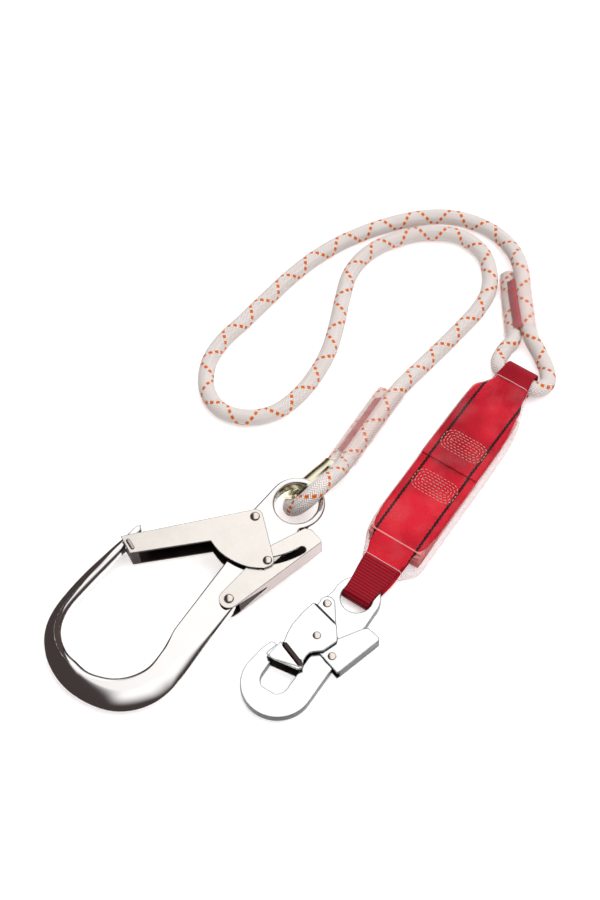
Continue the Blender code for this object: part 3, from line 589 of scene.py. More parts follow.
def side_frames(points: Sequence[Vector], up: Vector) -> list[tuple[Vector, Vector]]:
    """Two directions across a line at each of its points, with the first as near to `up` as it can be.

    Where the line runs almost along `up`, the frame is carried on smoothly between the stretches beside it.

    Args:
        points: The line.
        up: The wanted first direction.

    Returns:
        The two directions at each point.
    """
    tangents = [(points[min(i + 1, len(points) - 1)] - points[max(i - 1, 0)]).normalized()
                for i in range(len(points))]
    carried = [tangents[0].orthogonal().normalized()]
    for before, after in zip(tangents, tangents[1:]):
        carried.append(before.rotation_difference(after) @ carried[-1])
    turns: list[float | None] = []
    last = 0.0
    for tangent, side in zip(tangents, carried):
        if abs(tangent.dot(up)) > 0.75:
            turns.append(None)
            continue
        wanted = (up - tangent * tangent.dot(up)).normalized()
        angle = math.atan2(tangent.cross(side).dot(wanted), side.dot(wanted))
        angle += 2 * math.pi * round((last - angle) / (2 * math.pi))
        turns.append(angle)
        last = angle
    known = [i for i, angle in enumerate(turns) if angle is not None]
    frames = []
    for i, (tangent, side) in enumerate(zip(tangents, carried)):
        angle = turns[i]
        if angle is None:
            low = max((k for k in known if k < i), default=known[0])
            high = min((k for k in known if k > i), default=known[-1])
            share = (i - low) / max(1, high - low)
            angle = turns[low] + (turns[high] - turns[low]) * share
        first = Matrix.Rotation(angle, 3, tangent) @ side
        frames.append((first, tangent.cross(first)))
    return frames


def tube(shape: bmesh.types.BMesh, points: Sequence[Vector], radius: float | Callable[[float], float],
         sides: int = 8) -> None:
    """A closed round bar along points in millimetres, with a radius that may change along it.

    Args:
        shape: The bmesh that gets it.
        points: Its middle line.
        radius: Its radius, or the radius at a share of its length from 0 to 1.
        sides: How many sides it has.
    """
    frames = side_frames(points, Vector((0.03, 0.02, 1.0)).normalized())
    rings = []
    for i, (point, (first, second)) in enumerate(zip(points, frames)):
        size = radius(i / (len(points) - 1)) if callable(radius) else radius
        rings.append([point + (first * math.cos(a) + second * math.sin(a)) * size
                      for a in (2 * math.pi * k / sides for k in range(sides))])
    skin(shape, rings)


@dataclass
class Rope:
    """The kernmantle rope, from the tail in one splice to the tail in the other."""

    diameter: float = 12.0
    sides: int = 40
    step: float = 1.2
    finish: BraidedRope = BraidedRope()

    def line(self) -> list[Vector]:
        """The middle line at even steps."""
        return even_steps(smooth([Vector(p) + ROPE_OFFSET for p in ROPE_ROUTE], 14), self.step)

    def build(self, with_pieces: Sequence[bpy.types.Object]) -> bpy.types.Object:
        """Args:
            with_pieces: The pieces that sit on it; not used.

        Returns:
            The rope.
        """
        line = self.line()
        frames = side_frames(line, Vector((0.0, -0.5, 0.866)))
        columns = [k / self.sides for k in range(self.sides + 1)]
        rings, rows, walked = [], [], 0.0
        for i, (point, (first, second)) in enumerate(zip(line, frames)):
            walked += (point - line[i - 1]).length if i else 0.0
            rows.append(walked * MM)
            rings.append([point + (first * math.cos(2 * math.pi * k) + second * math.sin(2 * math.pi * k))
                          * self.diameter / 2 for k in columns[:-1]])
        shape = bmesh.new()
        skin(shape, rings, rows, columns)
        rope = finished("kernmantle_rope", shape, self.finish.build(), Body.ROPE, sharp=60.0)
        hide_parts("rope")
        LOG.info("rope: %.3f m", walked * MM)
        return rope


@dataclass
class Thimble:
    """The sheet metal channel that lines the rope's eye at the scaffold hook.

    It reaches round the rope by an angle to each side, and wraps further round the leg that it turns up over.
    """

    wall: float = 1.3
    groove: float = 6.45
    reach: float = 58.0
    wrap: float = 34.0
    lip: float = 0.9
    count: int = 14
    start: int = 11
    stop: int = 17
    parts: int = 10
    crown: Point = (6.3, -46.6, 21.2)
    waist: Point = (24.0, -23.0, 13.0)
    upward: Point = (0.0, -0.3, 0.95)

    def profile(self, reach: float) -> list[Vector]:
        """The C section for a reach in degrees: outer face, a rolled lip at each edge, and groove."""
        outer = arc((0.0, 0.0), self.groove + self.wall, -reach, reach, self.count)
        inner = arc((0.0, 0.0), self.groove, reach, -reach, self.count)
        outer[0] = outer[0] + outer[0].normalized() * self.lip * 0.5
        outer[-1] = outer[-1] + outer[-1].normalized() * self.lip * 0.5
        return outer + inner

    def build(self, material: bpy.types.Material) -> bpy.types.Object:
        """Make the channel round the loop of rope."""
        stretch = [Vector(p) for p in ROPE_ROUTE[1:12]]
        route = smooth(stretch, self.parts)[self.start:-self.stop]
        crown, waist, upward = Vector(self.crown), Vector(self.waist), Vector(self.upward)
        rings = []
        for i, point in enumerate(route):
            along = (route[min(i + 1, len(route) - 1)] - route[max(i - 1, 0)]).normalized()
            share = max(0.0, min(1.0, (point - crown).dot(waist - crown) / (waist - crown).length_squared))
            inward = crown + (waist - crown) * share - point
            inward = (inward - along * inward.dot(along)).normalized()
            turned = value_at(((0.28, 1.0), (0.52, 0.0)), i / len(route))
            inward = inward.lerp(upward - along * upward.dot(along), turned).normalized()
            across = along.cross(inward)
            rings.append([point + ROPE_OFFSET + inward * p.x + across * p.y
                          for p in self.profile(self.reach + self.wrap * turned)])
        shape = bmesh.new()
        skin(shape, rings)
        thimble = finished("rope_thimble", shape, material, Body.ROPE, sharp=50.0)
        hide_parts("thimble")
        return thimble


@dataclass
class Splice:
    """A sewn splice: two strands side by side under a clear sleeve, with a band of stitching between them."""

    name: str
    strands: tuple[tuple[int, int], ...]
    sleeve: tuple[float, float]
    band: tuple[float, float]
    replaced: tuple[str, str]
    inner: float = 6.55
    wall: float = 0.35
    band_width: float = 7.6
    band_lift: float = 6.0

    def frame_at(self, place: float, ahead: Vector) -> tuple[Vector, Vector, Vector, float]:
        """The middle of the two strands, the way across, the way out and half their distance.

        Args:
            place: Where along the splice, in pairs of strand points.
            ahead: The way along the splice.

        Returns:
            The middle, the two directions and the half distance.
        """
        leg = min(int(place), len(self.strands) - 2)
        main, tail = (rope_place(a).lerp(rope_place(b), place - leg)
                      for a, b in zip(self.strands[leg], self.strands[leg + 1]))
        across = main - tail
        across -= ahead * across.dot(ahead)
        out = across.normalized().cross(ahead)
        return (main + tail) / 2, across.normalized(), out, across.length / 2

    def ahead(self) -> Vector:
        """The way along the splice."""
        return (rope_place(self.strands[-1][1]) - rope_place(self.strands[0][1])).normalized()

    def build_sleeve(self, material: bpy.types.Material) -> bpy.types.Object:
        """Make the clear sleeve, swollen a little over the stitching between the strands."""
        ahead = self.ahead()
        stations, rings = 56, ([], [])
        for i in range(stations + 1):
            share = i / stations
            place = self.sleeve[0] + (self.sleeve[1] - self.sleeve[0]) * share
            centre, across, out, half = self.frame_at(place, ahead)
            ripple = 0.12 * math.sin(share * 23.0) + 0.08 * math.sin(share * 41.0 + 1.0)
            flare = 0.5 * math.exp(-min(share, 1 - share) * 30.0)
            for layer, rise in zip(rings, (self.wall, 0.0)):
                ring = []
                for side in (1, -1):
                    for point in arc((side * half, 0.0), self.inner + rise + ripple + flare,
                                     side * 90.0 - 180.0, side * 90.0, 16):
                        ring.append(centre + across * point.x + out * point.y)
                    for part in (0.25, 0.5, 0.75):
                        swell = 0.45 * math.sin(math.pi * part)
                        height = self.inner + rise + ripple + swell
                        start = Vector((side * half * (1 - 2 * part), side * height))
                        ring.append(centre + across * start.x + out * start.y)
                layer.append(ring)
        shape = bmesh.new()
        outer, inner = rings
        skin(shape, outer + inner[::-1] + outer[:1], closed_ends=False)
        bmesh.ops.remove_doubles(shape, verts=shape.verts, dist=1e-7)
        sleeve = finished(f"{self.name}_clear_sleeve", shape, material, Body.ROPE)
        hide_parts(self.replaced[0])
        return sleeve

    def build_band(self, material: bpy.types.Material) -> bpy.types.Object:
        """Make the band: a dense zigzag of thread over a thin bed of earlier rows."""
        ahead = self.ahead()
        places = [self.band[0] + (self.band[1] - self.band[0]) * i / 400 for i in range(401)]
        middles = [self.frame_at(place, ahead) for place in places]
        length = sum((b[0] - a[0]).length for a, b in zip(middles, middles[1:]))
        shape = bmesh.new()
        half = self.band_width / 2
        for layer, (pitch, lift, size) in enumerate(((0.85, 0.0, 0.42), (1.25, 0.35, 0.34))):
            count = int(length / pitch)
            route = []
            for i in range(count + 1):
                centre, across, out, _ = middles[round(400 * i / count)]
                side = 1 if (i + layer) % 2 else -1
                wander = 0.25 * math.sin(i * 1.7 + layer)
                for share in (-0.9, 0.0, 0.9):
                    reach = side * share * (half + wander)
                    rise = self.band_lift + lift - 0.05 * abs(reach)
                    route.append(centre + ahead * pitch * share * 0.5 + across * reach + out * rise)
            tube(shape, route, size, 5)
        bed = []
        for i in range(0, 401, 8):
            centre, across, out, _ = middles[i]
            taper = 0.75 if i in (0, 400) else 1.0
            bed.append([centre + across * x * taper + out * (self.band_lift + z)
                        for x, z in ((-half, -0.5), (-half * 0.6, 0.12), (0.0, 0.2), (half * 0.6, 0.12),
                                     (half, -0.5), (half * 0.5, -0.7), (-half * 0.5, -0.7))])
        skin(shape, bed)
        band = finished(f"{self.name}_zigzag_stitching", shape, material, Body.ROPE, sharp=None)
        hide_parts(self.replaced[1])
        return band


SPLICES = (
    Splice("hook_end_splice", ((10, 2), (11, 1), (12, 0)), (0.1, 1.96), (0.24, 1.66),
           ("thimble_splice_sleeve", "thimble_splice_stitching")),
    Splice("absorber_end_splice", ((49, 58), (48, 59), (47, 60)), (0.06, 1.96), (0.14, 1.56),
           ("eye_splice_sleeve", "eye_splice_stitching")),
)


# ---------------------------------------------------------------- absorber

Edges = Callable[[Vector, float], tuple[float, float]]


def ribbon(shape: bmesh.types.BMesh, path: Sequence[Vector], edges: Edges, thickness: float,
           across: int = 18) -> None:
    """A flat web along a line in the absorber's long middle plane, with a map in metres.

    Args:
        shape: The bmesh that gets it.
        path: Points with the distance along the absorber and the height.
        edges: The web's left and right edge at a point of the path and the length walked to it.
        thickness: The web's thickness.
        across: How many pieces its width is cut into.
    """
    half = thickness / 2
    rings, rows, walked = [], [], 0.0
    table: list[list[float]] = []
    for i, point in enumerate(path):
        walked += (point - path[i - 1]).length if i else 0.0
        tangent = (path[min(i + 1, len(path) - 1)] - path[max(i - 1, 0)]).normalized()
        normal = Vector((-tangent.y, tangent.x))
        left, right = edges(point, walked)
        ys = [left + (right - left) * k / across for k in range(across + 1)]
        side = [(y, half * (0.72 if k in (0, across) else 1.0)) for k, y in enumerate(ys)]
        section = side + [(right + 0.35, 0.0)] + [(y, -z) for y, z in reversed(side)] + [(left - 0.35, 0.0)]
        rings.append([Vector((point.x + normal.x * z, y, point.y + normal.y * z)) for y, z in section])
        table.append([y * MM for y, _ in section] + [section[0][0] * MM])
        rows.append(walked * MM)
    layer = shape.loops.layers.uv.verify()
    loops = [[shape.verts.new(point * MM) for point in ring] for ring in rings]
    count = len(loops[0])
    for i, (near, far) in enumerate(zip(loops, loops[1:])):
        for j in range(count):
            k = (j + 1) % count
            face = shape.faces.new((near[j], near[k], far[k], far[j]))
            corners = ((table[i][j], rows[i]), (table[i][j + 1], rows[i]),
                       (table[i + 1][j + 1], rows[i + 1]), (table[i + 1][j], rows[i + 1]))
            for loop, corner in zip(face.loops, corners):
                loop[layer].uv = corner
    shape.faces.new(loops[0][::-1])
    shape.faces.new(loops[-1])
    bmesh.ops.recalc_face_normals(shape, faces=shape.faces)


@dataclass
class Absorber:
    """The tear webbing absorber: folded tear web, two webbing loops, box stitches and a clear cover."""

    web: float = 1.6
    rope_height: float = 9.9
    rope_reach: float = 8.8
    pack_half: float = 20.4
    pack_layers: int = 9
    film: float = 0.3

    def rope_end_path(self) -> list[Vector]:
        """The upper web: from its cut end over the pack, round the rope's eye and back below."""
        top = smooth([(98.2, 22.5), (92.0, 22.35), (80.0, 22.0), (66.0, 21.6), (54.0, 21.1), (44.0, 20.9),
                      (36.0, 20.4), (27.0, 19.3), (18.0, 18.6), (9.0, 18.5)], 7)
        bend = arc((0.0, self.rope_height), self.rope_reach, 78.0, 282.0, 36)
        under = smooth([(8.0, 2.4), (18.0, 2.7), (30.0, 2.2), (44.0, 1.6)], 6)
        return top + bend + under

    def rope_end_edges(self, point: Vector, walked: float) -> tuple[float, float]:
        """The left and right edge of the upper web."""
        on_top = walked < 104.0
        spread = value_at(((-2.0, 0.0), (14.0, 0.16), (29.0, 1.0)), point.x) if on_top else 0.0
        left = -12.4 + (-22.6 + 12.4) * spread
        spread = value_at(((2.0, 0.0), (18.0, 0.30), (34.0, 0.68), (60.0, 1.0)), point.x) if on_top else 0.0
        return left, 11.2 + (22.0 - 11.2) * spread

    def hook_end_path(self) -> list[Vector]:
        """The lower web: over the pack, into the cover's mouth, round the snap hook's eye and back below."""
        top = smooth([(62.0, 20.0), (84.0, 20.6), (104.0, 20.9), (120.0, 20.5), (136.0, 20.7), (150.0, 20.0),
                      (162.0, 19.3), (172.0, 17.2), (180.0, 14.6), (188.0, 13.1), (197.0, 12.5),
                      (207.0, 12.3)], 7)
        bend = arc((213.7, 7.5), 4.85, 84.0, -84.0, 26)
        under = smooth([(206.0, 2.65), (196.0, 3.2), (184.0, 4.4), (172.0, 3.6), (158.0, 2.0)], 6)
        return top + bend + under

    def hook_end_edges(self, point: Vector, walked: float) -> tuple[float, float]:
        """The left and right edge of the lower web."""
        spread = value_at(((148.0, 0.0), (158.0, 0.12), (174.0, 0.72), (184.0, 1.0)), point.x)
        if walked > 165.0:
            spread = 1.0
        narrow = value_at(((186.0, 0.0), (214.0, 1.0)), point.x)
        left = -22.4 + (22.4 - 13.2) * spread + 2.7 * narrow
        return left, 22.4 - (22.4 - 13.4) * spread - 3.4 * narrow

    def build_webs(self) -> None:
        """Make the two webbing loops and the folded tear web between them."""
        lined = (RibbedWebbing("rope_end_red_webbing", line_at=16.6, coarse_from=88.0, coarse_to=126.0,
                               coarse_rib=1.6, coarse_darkening=0.5).build(),
                 RibbedWebbing("hook_end_red_webbing", line_at=16.6, coarse_from=124.0,
                               coarse_to=182.0).build())
        plain = RibbedWebbing("folded_tear_webbing", colour=(0.62, 0.10, 0.11, 1.0),
                              bright=(0.78, 0.30, 0.29, 1.0)).build()
        for finish, name, path, edges, node in (
                (lined[0], "rope_end_webbing", self.rope_end_path(), self.rope_end_edges, "rope_end_strap"),
                (lined[1], "hook_end_webbing", self.hook_end_path(), self.hook_end_edges, "hook_end_strap")):
            shape = bmesh.new()
            ribbon(shape, path, edges, self.web)
            piece = finished(name, shape, finish, Body.ABSORBER, ABSORBER_PLACE, sharp=60.0)
            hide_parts(node)
        shape = bmesh.new()
        pitch = (19.4 - 1.4) / self.pack_layers
        path: list[Vector] = []
        for layer in range(self.pack_layers):
            height = 1.4 + pitch * (layer + 0.5)
            ends = (38.0, 168.0) if layer % 2 == 0 else (168.0, 38.0)
            sag = 0.35 * math.sin(layer * 2.1)
            count = 16
            run = [Vector((ends[0] + (ends[1] - ends[0]) * i / count,
                           height + sag * math.sin(math.pi * i / count))) for i in range(count + 1)]
            path += run
            if layer < self.pack_layers - 1:
                out = 1 if layer % 2 == 0 else -1
                turn = arc((run[-1].x, height + pitch / 2), pitch / 2, -90.0, 90.0, 6)[1:-1]
                path += [Vector((run[-1].x + out * (p.x - run[-1].x) * 1.6, p.y)) for p in turn]

        def pack_edges(point: Vector, walked: float) -> tuple[float, float]:
            """The pack's edges, each layer shifted a little from the next."""
            shift = 0.5 * math.sin(point.y * 1.9)
            return -self.pack_half + shift, self.pack_half + shift

        ribbon(shape, path, pack_edges, pitch * 0.86, across=8)
        pack = finished("folded_tear_webbing", shape, plain, Body.ABSORBER, ABSORBER_PLACE, sharp=60.0)
        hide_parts("absorber_webbing")

    def box_stitch(self, name: str, centre: float, path: Sequence[Vector], size: tuple[float, float],
                   material: bpy.types.Material, node: str) -> bpy.types.Object:
        """Make a stitched pad of nested rows of single stitches.

        Args:
            name: The piece's name.
            centre: How far along the absorber its middle lies.
            path: The line of the web that it is sewn through.
            size: Its length across the web and its width along it.
            material: The thread.
            node: The CAD node that it stands for.

        Returns:
            The stitches.
        """
        shape = bmesh.new()
        rows: list[list[Vector]] = []
        top = [(p.x, p.y + self.web / 2) for p in sorted(path[:70], key=lambda p: p.x)]
        half, radius = size[0] / 2, size[1] / 2
        for row in range(4):
            inset = row * 2.05
            corner = max(0.6, (radius - inset) * 0.8)
            outline = []
            for sx, sy, start in ((1, 1, 0.0), (-1, 1, 90.0), (-1, -1, 180.0), (1, -1, 270.0)):
                middle = (sx * (half - inset - corner), sy * (radius - inset - corner))
                outline += arc(middle, corner, start, start + 90.0, 8)
            rows.append(outline + outline[:1])
        rows.append([Vector((-half * 0.62, 0.0)), Vector((half * 0.62, 0.0))])
        for number, outline in enumerate(rows):
            dots = even_steps(outline, 1.55)
            for i in range(number % 2, len(dots) - 1, 2):
                a, b = dots[i], dots[i + 1]
                sink = 0.28
                points = []
                for share, rise in ((-0.12, -sink), (0.06, 0.1), (0.5, 0.3), (0.94, 0.1), (1.12, -sink)):
                    p = a.lerp(b, share)
                    points.append(Vector((centre + p.y, p.x, value_at(top, centre + p.y) + rise)))
                tube(shape, points, 0.31, 5)
        pad = finished(name, shape, material, Body.ABSORBER, ABSORBER_PLACE, sharp=None)
        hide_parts(node)
        return pad

    def cover_stations(self) -> list[tuple[float, float, float, float, float]]:
        """The cover along its length: distance, left edge, right edge, bottom and top."""
        return [
            (10.6, -14.2, 12.9, 4.6, 20.4), (14.0, -15.0, 13.8, 4.0, 20.2),
            (20.0, -18.4, 15.6, 2.4, 20.4), (26.0, -22.6, 18.0, 1.0, 21.0),
            (34.0, -23.7, 20.4, 0.4, 22.0), (46.0, -23.9, 22.4, 0.15, 22.8),
            (70.0, -23.9, 23.6, 0.1, 23.5), (94.0, -23.8, 23.9, 0.1, 24.0),
            (101.0, -23.7, 23.9, 0.1, 23.8), (106.0, -23.7, 24.0, 0.1, 22.8),
            (130.0, -23.8, 24.0, 0.1, 22.4), (150.0, -23.8, 24.2, 0.1, 22.0),
            (162.0, -23.2, 24.4, 0.1, 21.0), (172.0, -21.4, 24.2, 0.1, 19.0),
            (178.0, -18.6, 22.0, 0.6, 17.0), (185.0, -15.4, 16.2, 2.2, 15.6),
        ]

    def build_cover(self, material: bpy.types.Material, rim: bpy.types.Material) -> None:
        """Make the cover of thin film, open at both ends, with a thicker rim round each mouth."""
        stations = smooth([station[:3] for station in self.cover_stations()], 5)
        heights = smooth([(station[0], station[3], station[4]) for station in self.cover_stations()], 5)
        layers: tuple[list[list[Vector]], list[list[Vector]]] = ([], [])
        for i, (place, rise) in enumerate(zip(stations, heights)):
            for layer, inset in zip(layers, (0.0, self.film)):
                left, right = place.y + inset, place.z - inset
                low, high = rise.y + inset, rise.z - inset
                corner = min(3.2, (high - low) * 0.3)
                ring = []
                for y, z, sy, sz, start in ((right, low, 1, -1, -90.0), (right, high, 1, 1, 0.0),
                                            (left, high, -1, 1, 90.0), (left, low, -1, -1, 180.0)):
                    size = corner if sz > 0 else 1.4
                    for p in arc((y - sy * size, z - sz * size), size, start, start + 90.0, 6):
                        ring.append(Vector((place.x, p.x, p.y)))
                    if sz > 0 and sy > 0:
                        for k in range(1, 10):
                            t = k / 10
                            crease = 0.22 * math.sin(place.x * 0.31 + t * 9.0) * math.sin(math.pi * t)
                            ring.append(Vector((place.x, (right - size) + (left - right + 2 * size) * t,
                                                high + crease)))
                    elif sy > 0:
                        for k in range(1, 6):
                            t = k / 6
                            buckle = 0.45 * math.sin(math.pi * t) * math.sin(place.x * 0.21)
                            ring.append(Vector((place.x, right - 0.2 + buckle * 0.6,
                                                low + size + (high - corner - low - size) * t)))
                layer.append(ring)
        shape = bmesh.new()
        outer, inner = layers
        skin(shape, outer + inner[::-1] + outer[:1], closed_ends=False)
        bmesh.ops.remove_doubles(shape, verts=shape.verts, dist=1e-7)
        cover = finished("absorber_clear_cover", shape, material, Body.ABSORBER, ABSORBER_PLACE, sharp=55.0)
        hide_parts("absorber_cover")
        for name, ring in (("upper_mouth_rim", outer[0]), ("lower_mouth_rim", outer[-1])):
            shape = bmesh.new()
            tube(shape, [*ring, ring[0]], 0.28, 6)
            edge = finished(name, shape, rim, Body.ABSORBER, ABSORBER_PLACE, sharp=None)

    def build(self, film: bpy.types.Material, rim: bpy.types.Material, thread: bpy.types.Material) -> None:
        """Make every piece of the absorber."""
        self.build_webs()
        self.box_stitch("rope_end_box_stitch", 78.5, self.rope_end_path(), (33.5, 17.0), thread,
                        "upper_box_stitch")
        self.box_stitch("hook_end_box_stitch", 117.0, self.hook_end_path(), (33.5, 17.0), thread,
                        "lower_box_stitch")
        self.build_cover(film, rim)


# ---------------------------------------------------------------- scaffold hook

@dataclass
class Rim:
    """A corner of a plate's outline with the width and the depth of the rounding of its edge.

    A slant of 1 makes the rounding a quarter of an ellipse, and a larger one brings it nearer to a bevel.
    """

    place: Vector
    width: float
    depth: float
    half: float
    slant: float = 1.0


def crowned_plate(shape: bmesh.types.BMesh, loops: Sequence[Sequence[Rim]], steps: int = 10) -> None:
    """A plate with a rounded edge that may be wide in some places and narrow in others.

    Args:
        shape: The bmesh that gets it.
        loops: The outline, anticlockwise, and then its holes, clockwise.
        steps: How many pieces each rounding is cut into.
    """
    caps: dict[int, list[bmesh.types.BMEdge]] = {1: [], -1: []}
    for loop in loops:
        count = len(loop)
        inward = []
        for i, rim in enumerate(loop):
            before = (rim.place - loop[i - 1].place).normalized()
            after = (loop[(i + 1) % count].place - rim.place).normalized()
            left = Vector((-before.y, before.x))
            middle = (left + Vector((-after.y, after.x))).normalized()
            inward.append(middle / max(0.72, middle.dot(left)))
        turns = [math.radians(90.0 * k / steps) for k in range(steps + 1)]
        levels = [(-1, None)] + [(-1, a) for a in reversed(turns)] + [(1, a) for a in turns] + [(1, None)]
        rings = []
        for side, angle in levels:
            ring = []
            for rim, way in zip(loop, inward):
                depth = min(rim.depth, rim.half - 0.25)
                share = 1.0 if angle is None else 1.0 - max(0.0, math.cos(angle)) ** rim.slant
                extra = min(0.35, rim.width * 0.1) if angle is None else 0.0
                rise = 1.0 if angle is None else math.sin(angle) ** rim.slant
                flat = rim.place + way * (rim.width * share + extra)
                ring.append(Vector((flat.x, flat.y, side * (rim.half - depth + depth * rise))))
            rings.append(ring)
        made = [[shape.verts.new(point * MM) for point in ring] for ring in rings]
        for near, far in zip(made, made[1:]):
            for j in range(count):
                k = (j + 1) % count
                shape.faces.new((near[j], near[k], far[k], far[j]))
        for side, ring in ((-1, made[0]), (1, made[-1])):
            caps[side] += [shape.edges.get((ring[j], ring[(j + 1) % count])) for j in range(count)]
    for edges in caps.values():
        bmesh.ops.triangle_fill(shape, use_beauty=True, edges=edges)
    bmesh.ops.recalc_face_normals(shape, faces=shape.faces)


@dataclass
class BigHookBody:
    """The forged bow of the scaffold hook with its pivot head and its eye ring."""

    half: float = 5.5
    eye: float = 15.5
    ring: float = 20.5
    edge: float = 1.7
    spine: float = 1.1
    gate_pivot: tuple[float, float] = (-26.0, 16.5)

    def rims(self, points: Sequence[Vector], width: Callable[[Vector], float],
             depth: Callable[[Vector], float], slant: float = 1.0) -> list[Rim]:
        """Corners with the rounding that two rules give at each."""
        rims = []
        for point in points:
            share = value_at(((-160.0, 1.0), (-90.0, 0.0)), point.x) if point.y < 50.0 else 1.0
            rims.append(Rim(point, width(point), depth(point), self.half_at(point),
                            1.0 + (slant - 1.0) * share))
        return rims

    def half_at(self, point: Vector) -> float:
        """Half the thickness, which tapers towards the tip of the nose."""
        if point.y < 60.0:
            return self.half
        return value_at(((-122.0, self.half), (-92.0, 4.6), (-75.0, 2.6)), point.x)

    def outer_width(self, point: Vector) -> float:
        """The width of the rounding round the outside of the bow."""
        if point.y > 50.0:
            return value_at(((-185.0, 13.0), (-150.0, 8.4), (-120.0, 7.6), (-92.0, 5.0), (-75.0, 1.1)),
                            point.x)
        return value_at(((-200.0, 13.5), (-172.0, 13.0), (-148.0, 9.0), (-112.0, 3.6), (-66.0, self.edge)),
                        point.x)

    def inner_width(self, point: Vector) -> float:
        """The width of the rounding round the inside of the bow."""
        if point.y > 50.0:
            return value_at(((-176.0, 5.4), (-140.0, 4.3), (-110.0, 3.7), (-92.0, 2.6), (-75.0, 1.1)),
                            point.x)
        return value_at(((-178.0, 5.6), (-160.0, 4.6), (-140.0, 2.4), (-126.0, self.spine)), point.x)

    def build(self, material: bpy.types.Material) -> bpy.types.Object:
        """Make the body."""
        outer = smooth([(-74.8, 84.4), (-92.0, 88.6), (-106.0, 91.2), (-122.0, 93.8), (-142.0, 95.3),
                        (-158.0, 94.6), (-172.0, 90.2), (-183.5, 81.8), (-192.5, 70.0), (-198.4, 54.0),
                        (-199.2, 36.0), (-195.2, 18.0), (-186.5, 4.6), (-174.0, -4.6), (-160.0, -8.9),
                        (-145.0, -9.8)], 8)
        back = [Vector((x, -9.8)) for x in range(-140, -54, 6)]
        back += [Vector((-54.0, -9.8)), Vector((-52.0, -7.4))]
        recess = arc(self.gate_pivot, 31.8, 222.5, 288.0, 24)
        ring = arc((0.0, 0.0), self.ring, 222.0, 444.6, 90)
        head = arc(self.gate_pivot, 6.5, 84.6, 190.0, 18)
        shank = [Vector((-44.0, 14.0)), Vector((-60.0, 14.6))]
        shank += [Vector((-x, 14.6)) for x in range(72, 122, 6)]
        inner = smooth([(-124.0, 14.6), (-133.0, 13.4), (-143.0, 13.2), (-155.0, 15.0), (-165.5, 20.4),
                        (-173.4, 29.0), (-178.0, 40.0), (-179.2, 48.0), (-178.0, 56.0), (-176.0, 66.0),
                        (-169.8, 75.4), (-161.0, 81.0), (-150.0, 83.2), (-136.0, 82.6), (-118.0, 80.8),
                        (-100.0, 79.3), (-86.0, 78.3), (-75.6, 78.6)], 8)
        tip = [Vector((-72.9, 81.5))]

        def narrow(point: Vector) -> float:
            """The plain edge round the head."""
            return self.edge

        def full(point: Vector) -> float:
            """A rounding as deep as the plate is thick."""
            if point.y >= 50.0:
                return self.half
            return value_at(((-160.0, self.half), (-66.0, self.edge)), point.x)

        def inside(point: Vector) -> float:
            """A rounding that becomes a plain edge where the bow meets the spine."""
            if point.y >= 50.0:
                return self.half
            return value_at(((-160.0, self.half), (-126.0, self.spine)), point.x)

        def spine(point: Vector) -> float:
            """The plain inner edge of the spine."""
            return self.spine

        outline = (self.rims(outer + back, self.outer_width, full, 1.42)
                   + self.rims(recess + ring + head, narrow, narrow) + self.rims(shank, spine, spine)
                   + self.rims(inner, self.inner_width, inside, 1.25) + self.rims(tip, lambda p: 0.9, full))
        hole = self.rims(arc((0.0, 0.0), self.eye, 360.0, 0.0, 96)[:-1], narrow, narrow)
        shape = bmesh.new()
        crowned_plate(shape, [outline, hole])
        body = finished("scaffold_hook_forging", shape, material, Body.BIG_HOOK, BIG_HOOK_PLACE, sharp=50.0)
        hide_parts("big_hook_body")
        return body


# ---------------------------------------------------------------- machined and pressed pieces

class Place(IntEnum):
    """Where a face of a pressed sheet piece lies, which is also its finish's slot."""

    FACE = 0
    SIDE = 1
    INSIDE = 2


@dataclass(frozen=True)
class Pressing:
    """The finishes of a pressed sheet piece: its faces, its sides and the inside of its channel.

    The inner half is half the channel's clear width, or 0 for a flat plate, and the end is the finish of the
    walls that close the piece towards the hook's bowl. The inside finish is painted shade: near-black metal
    on the faces within the channel, where shade falls.
    """

    face: bpy.types.Material
    side: bpy.types.Material
    inside: bpy.types.Material
    place: Matrix
    inner_half: float
    end: Place
    flatness: float = 0.7
    slack: float = 0.08

    def paint(self, node: bpy.types.Object) -> None:
        """Give each face of a piece its finish."""
        local = self.place.inverted()
        node.data.materials.clear()
        for material in (self.face, self.side, self.inside):
            node.data.materials.append(material)
        turn = local.to_3x3()
        for polygon in node.data.polygons:
            normal, centre = turn @ polygon.normal, local @ polygon.center
            reach = max(abs((local @ node.data.vertices[i].co).z) for i in polygon.vertices)
            buried = self.inner_half and reach < (self.inner_half + self.slack) * MM
            if abs(normal.z) > self.flatness:
                outward = normal.z * centre.z > 0 or not self.inner_half
                polygon.material_index = Place.FACE if outward else Place.INSIDE
            elif normal.x < -0.6:
                polygon.material_index = self.end
            else:
                polygon.material_index = Place.INSIDE if buried else Place.SIDE


def refine(node: bpy.types.Object, material: bpy.types.Material | Pressing, width: float, segments: int = 3,
           angle: float = 30.0) -> None:
    """Give a CAD piece its finish and finely rounded edges.

    Args:
        node: The piece.
        material: Its finish, or the finishes of a pressing.
        width: The width of its edges' rounding in millimetres, or 0 for none.
        segments: How many pieces the rounding is cut into.
        angle: Edges over this angle in degrees are rounded.
    """
    if isinstance(material, Pressing):
        material.paint(node)
    else:
        node.data.materials.clear()
        node.data.materials.append(material)
    joined = node.modifiers.new("joined_corners", "WELD")
    joined.merge_threshold = 0.000002
    if width > 0.0:
        rounding = node.modifiers.new("rounded_edges", "BEVEL")
        rounding.width = width * MM
        rounding.segments = segments
        rounding.profile = 0.5
        rounding.limit_method = "ANGLE"
        rounding.angle_limit = math.radians(angle)
        rounding.harden_normals = True
    LOG.info("%s: finished in %s", node.name, node.data.materials[0].name)


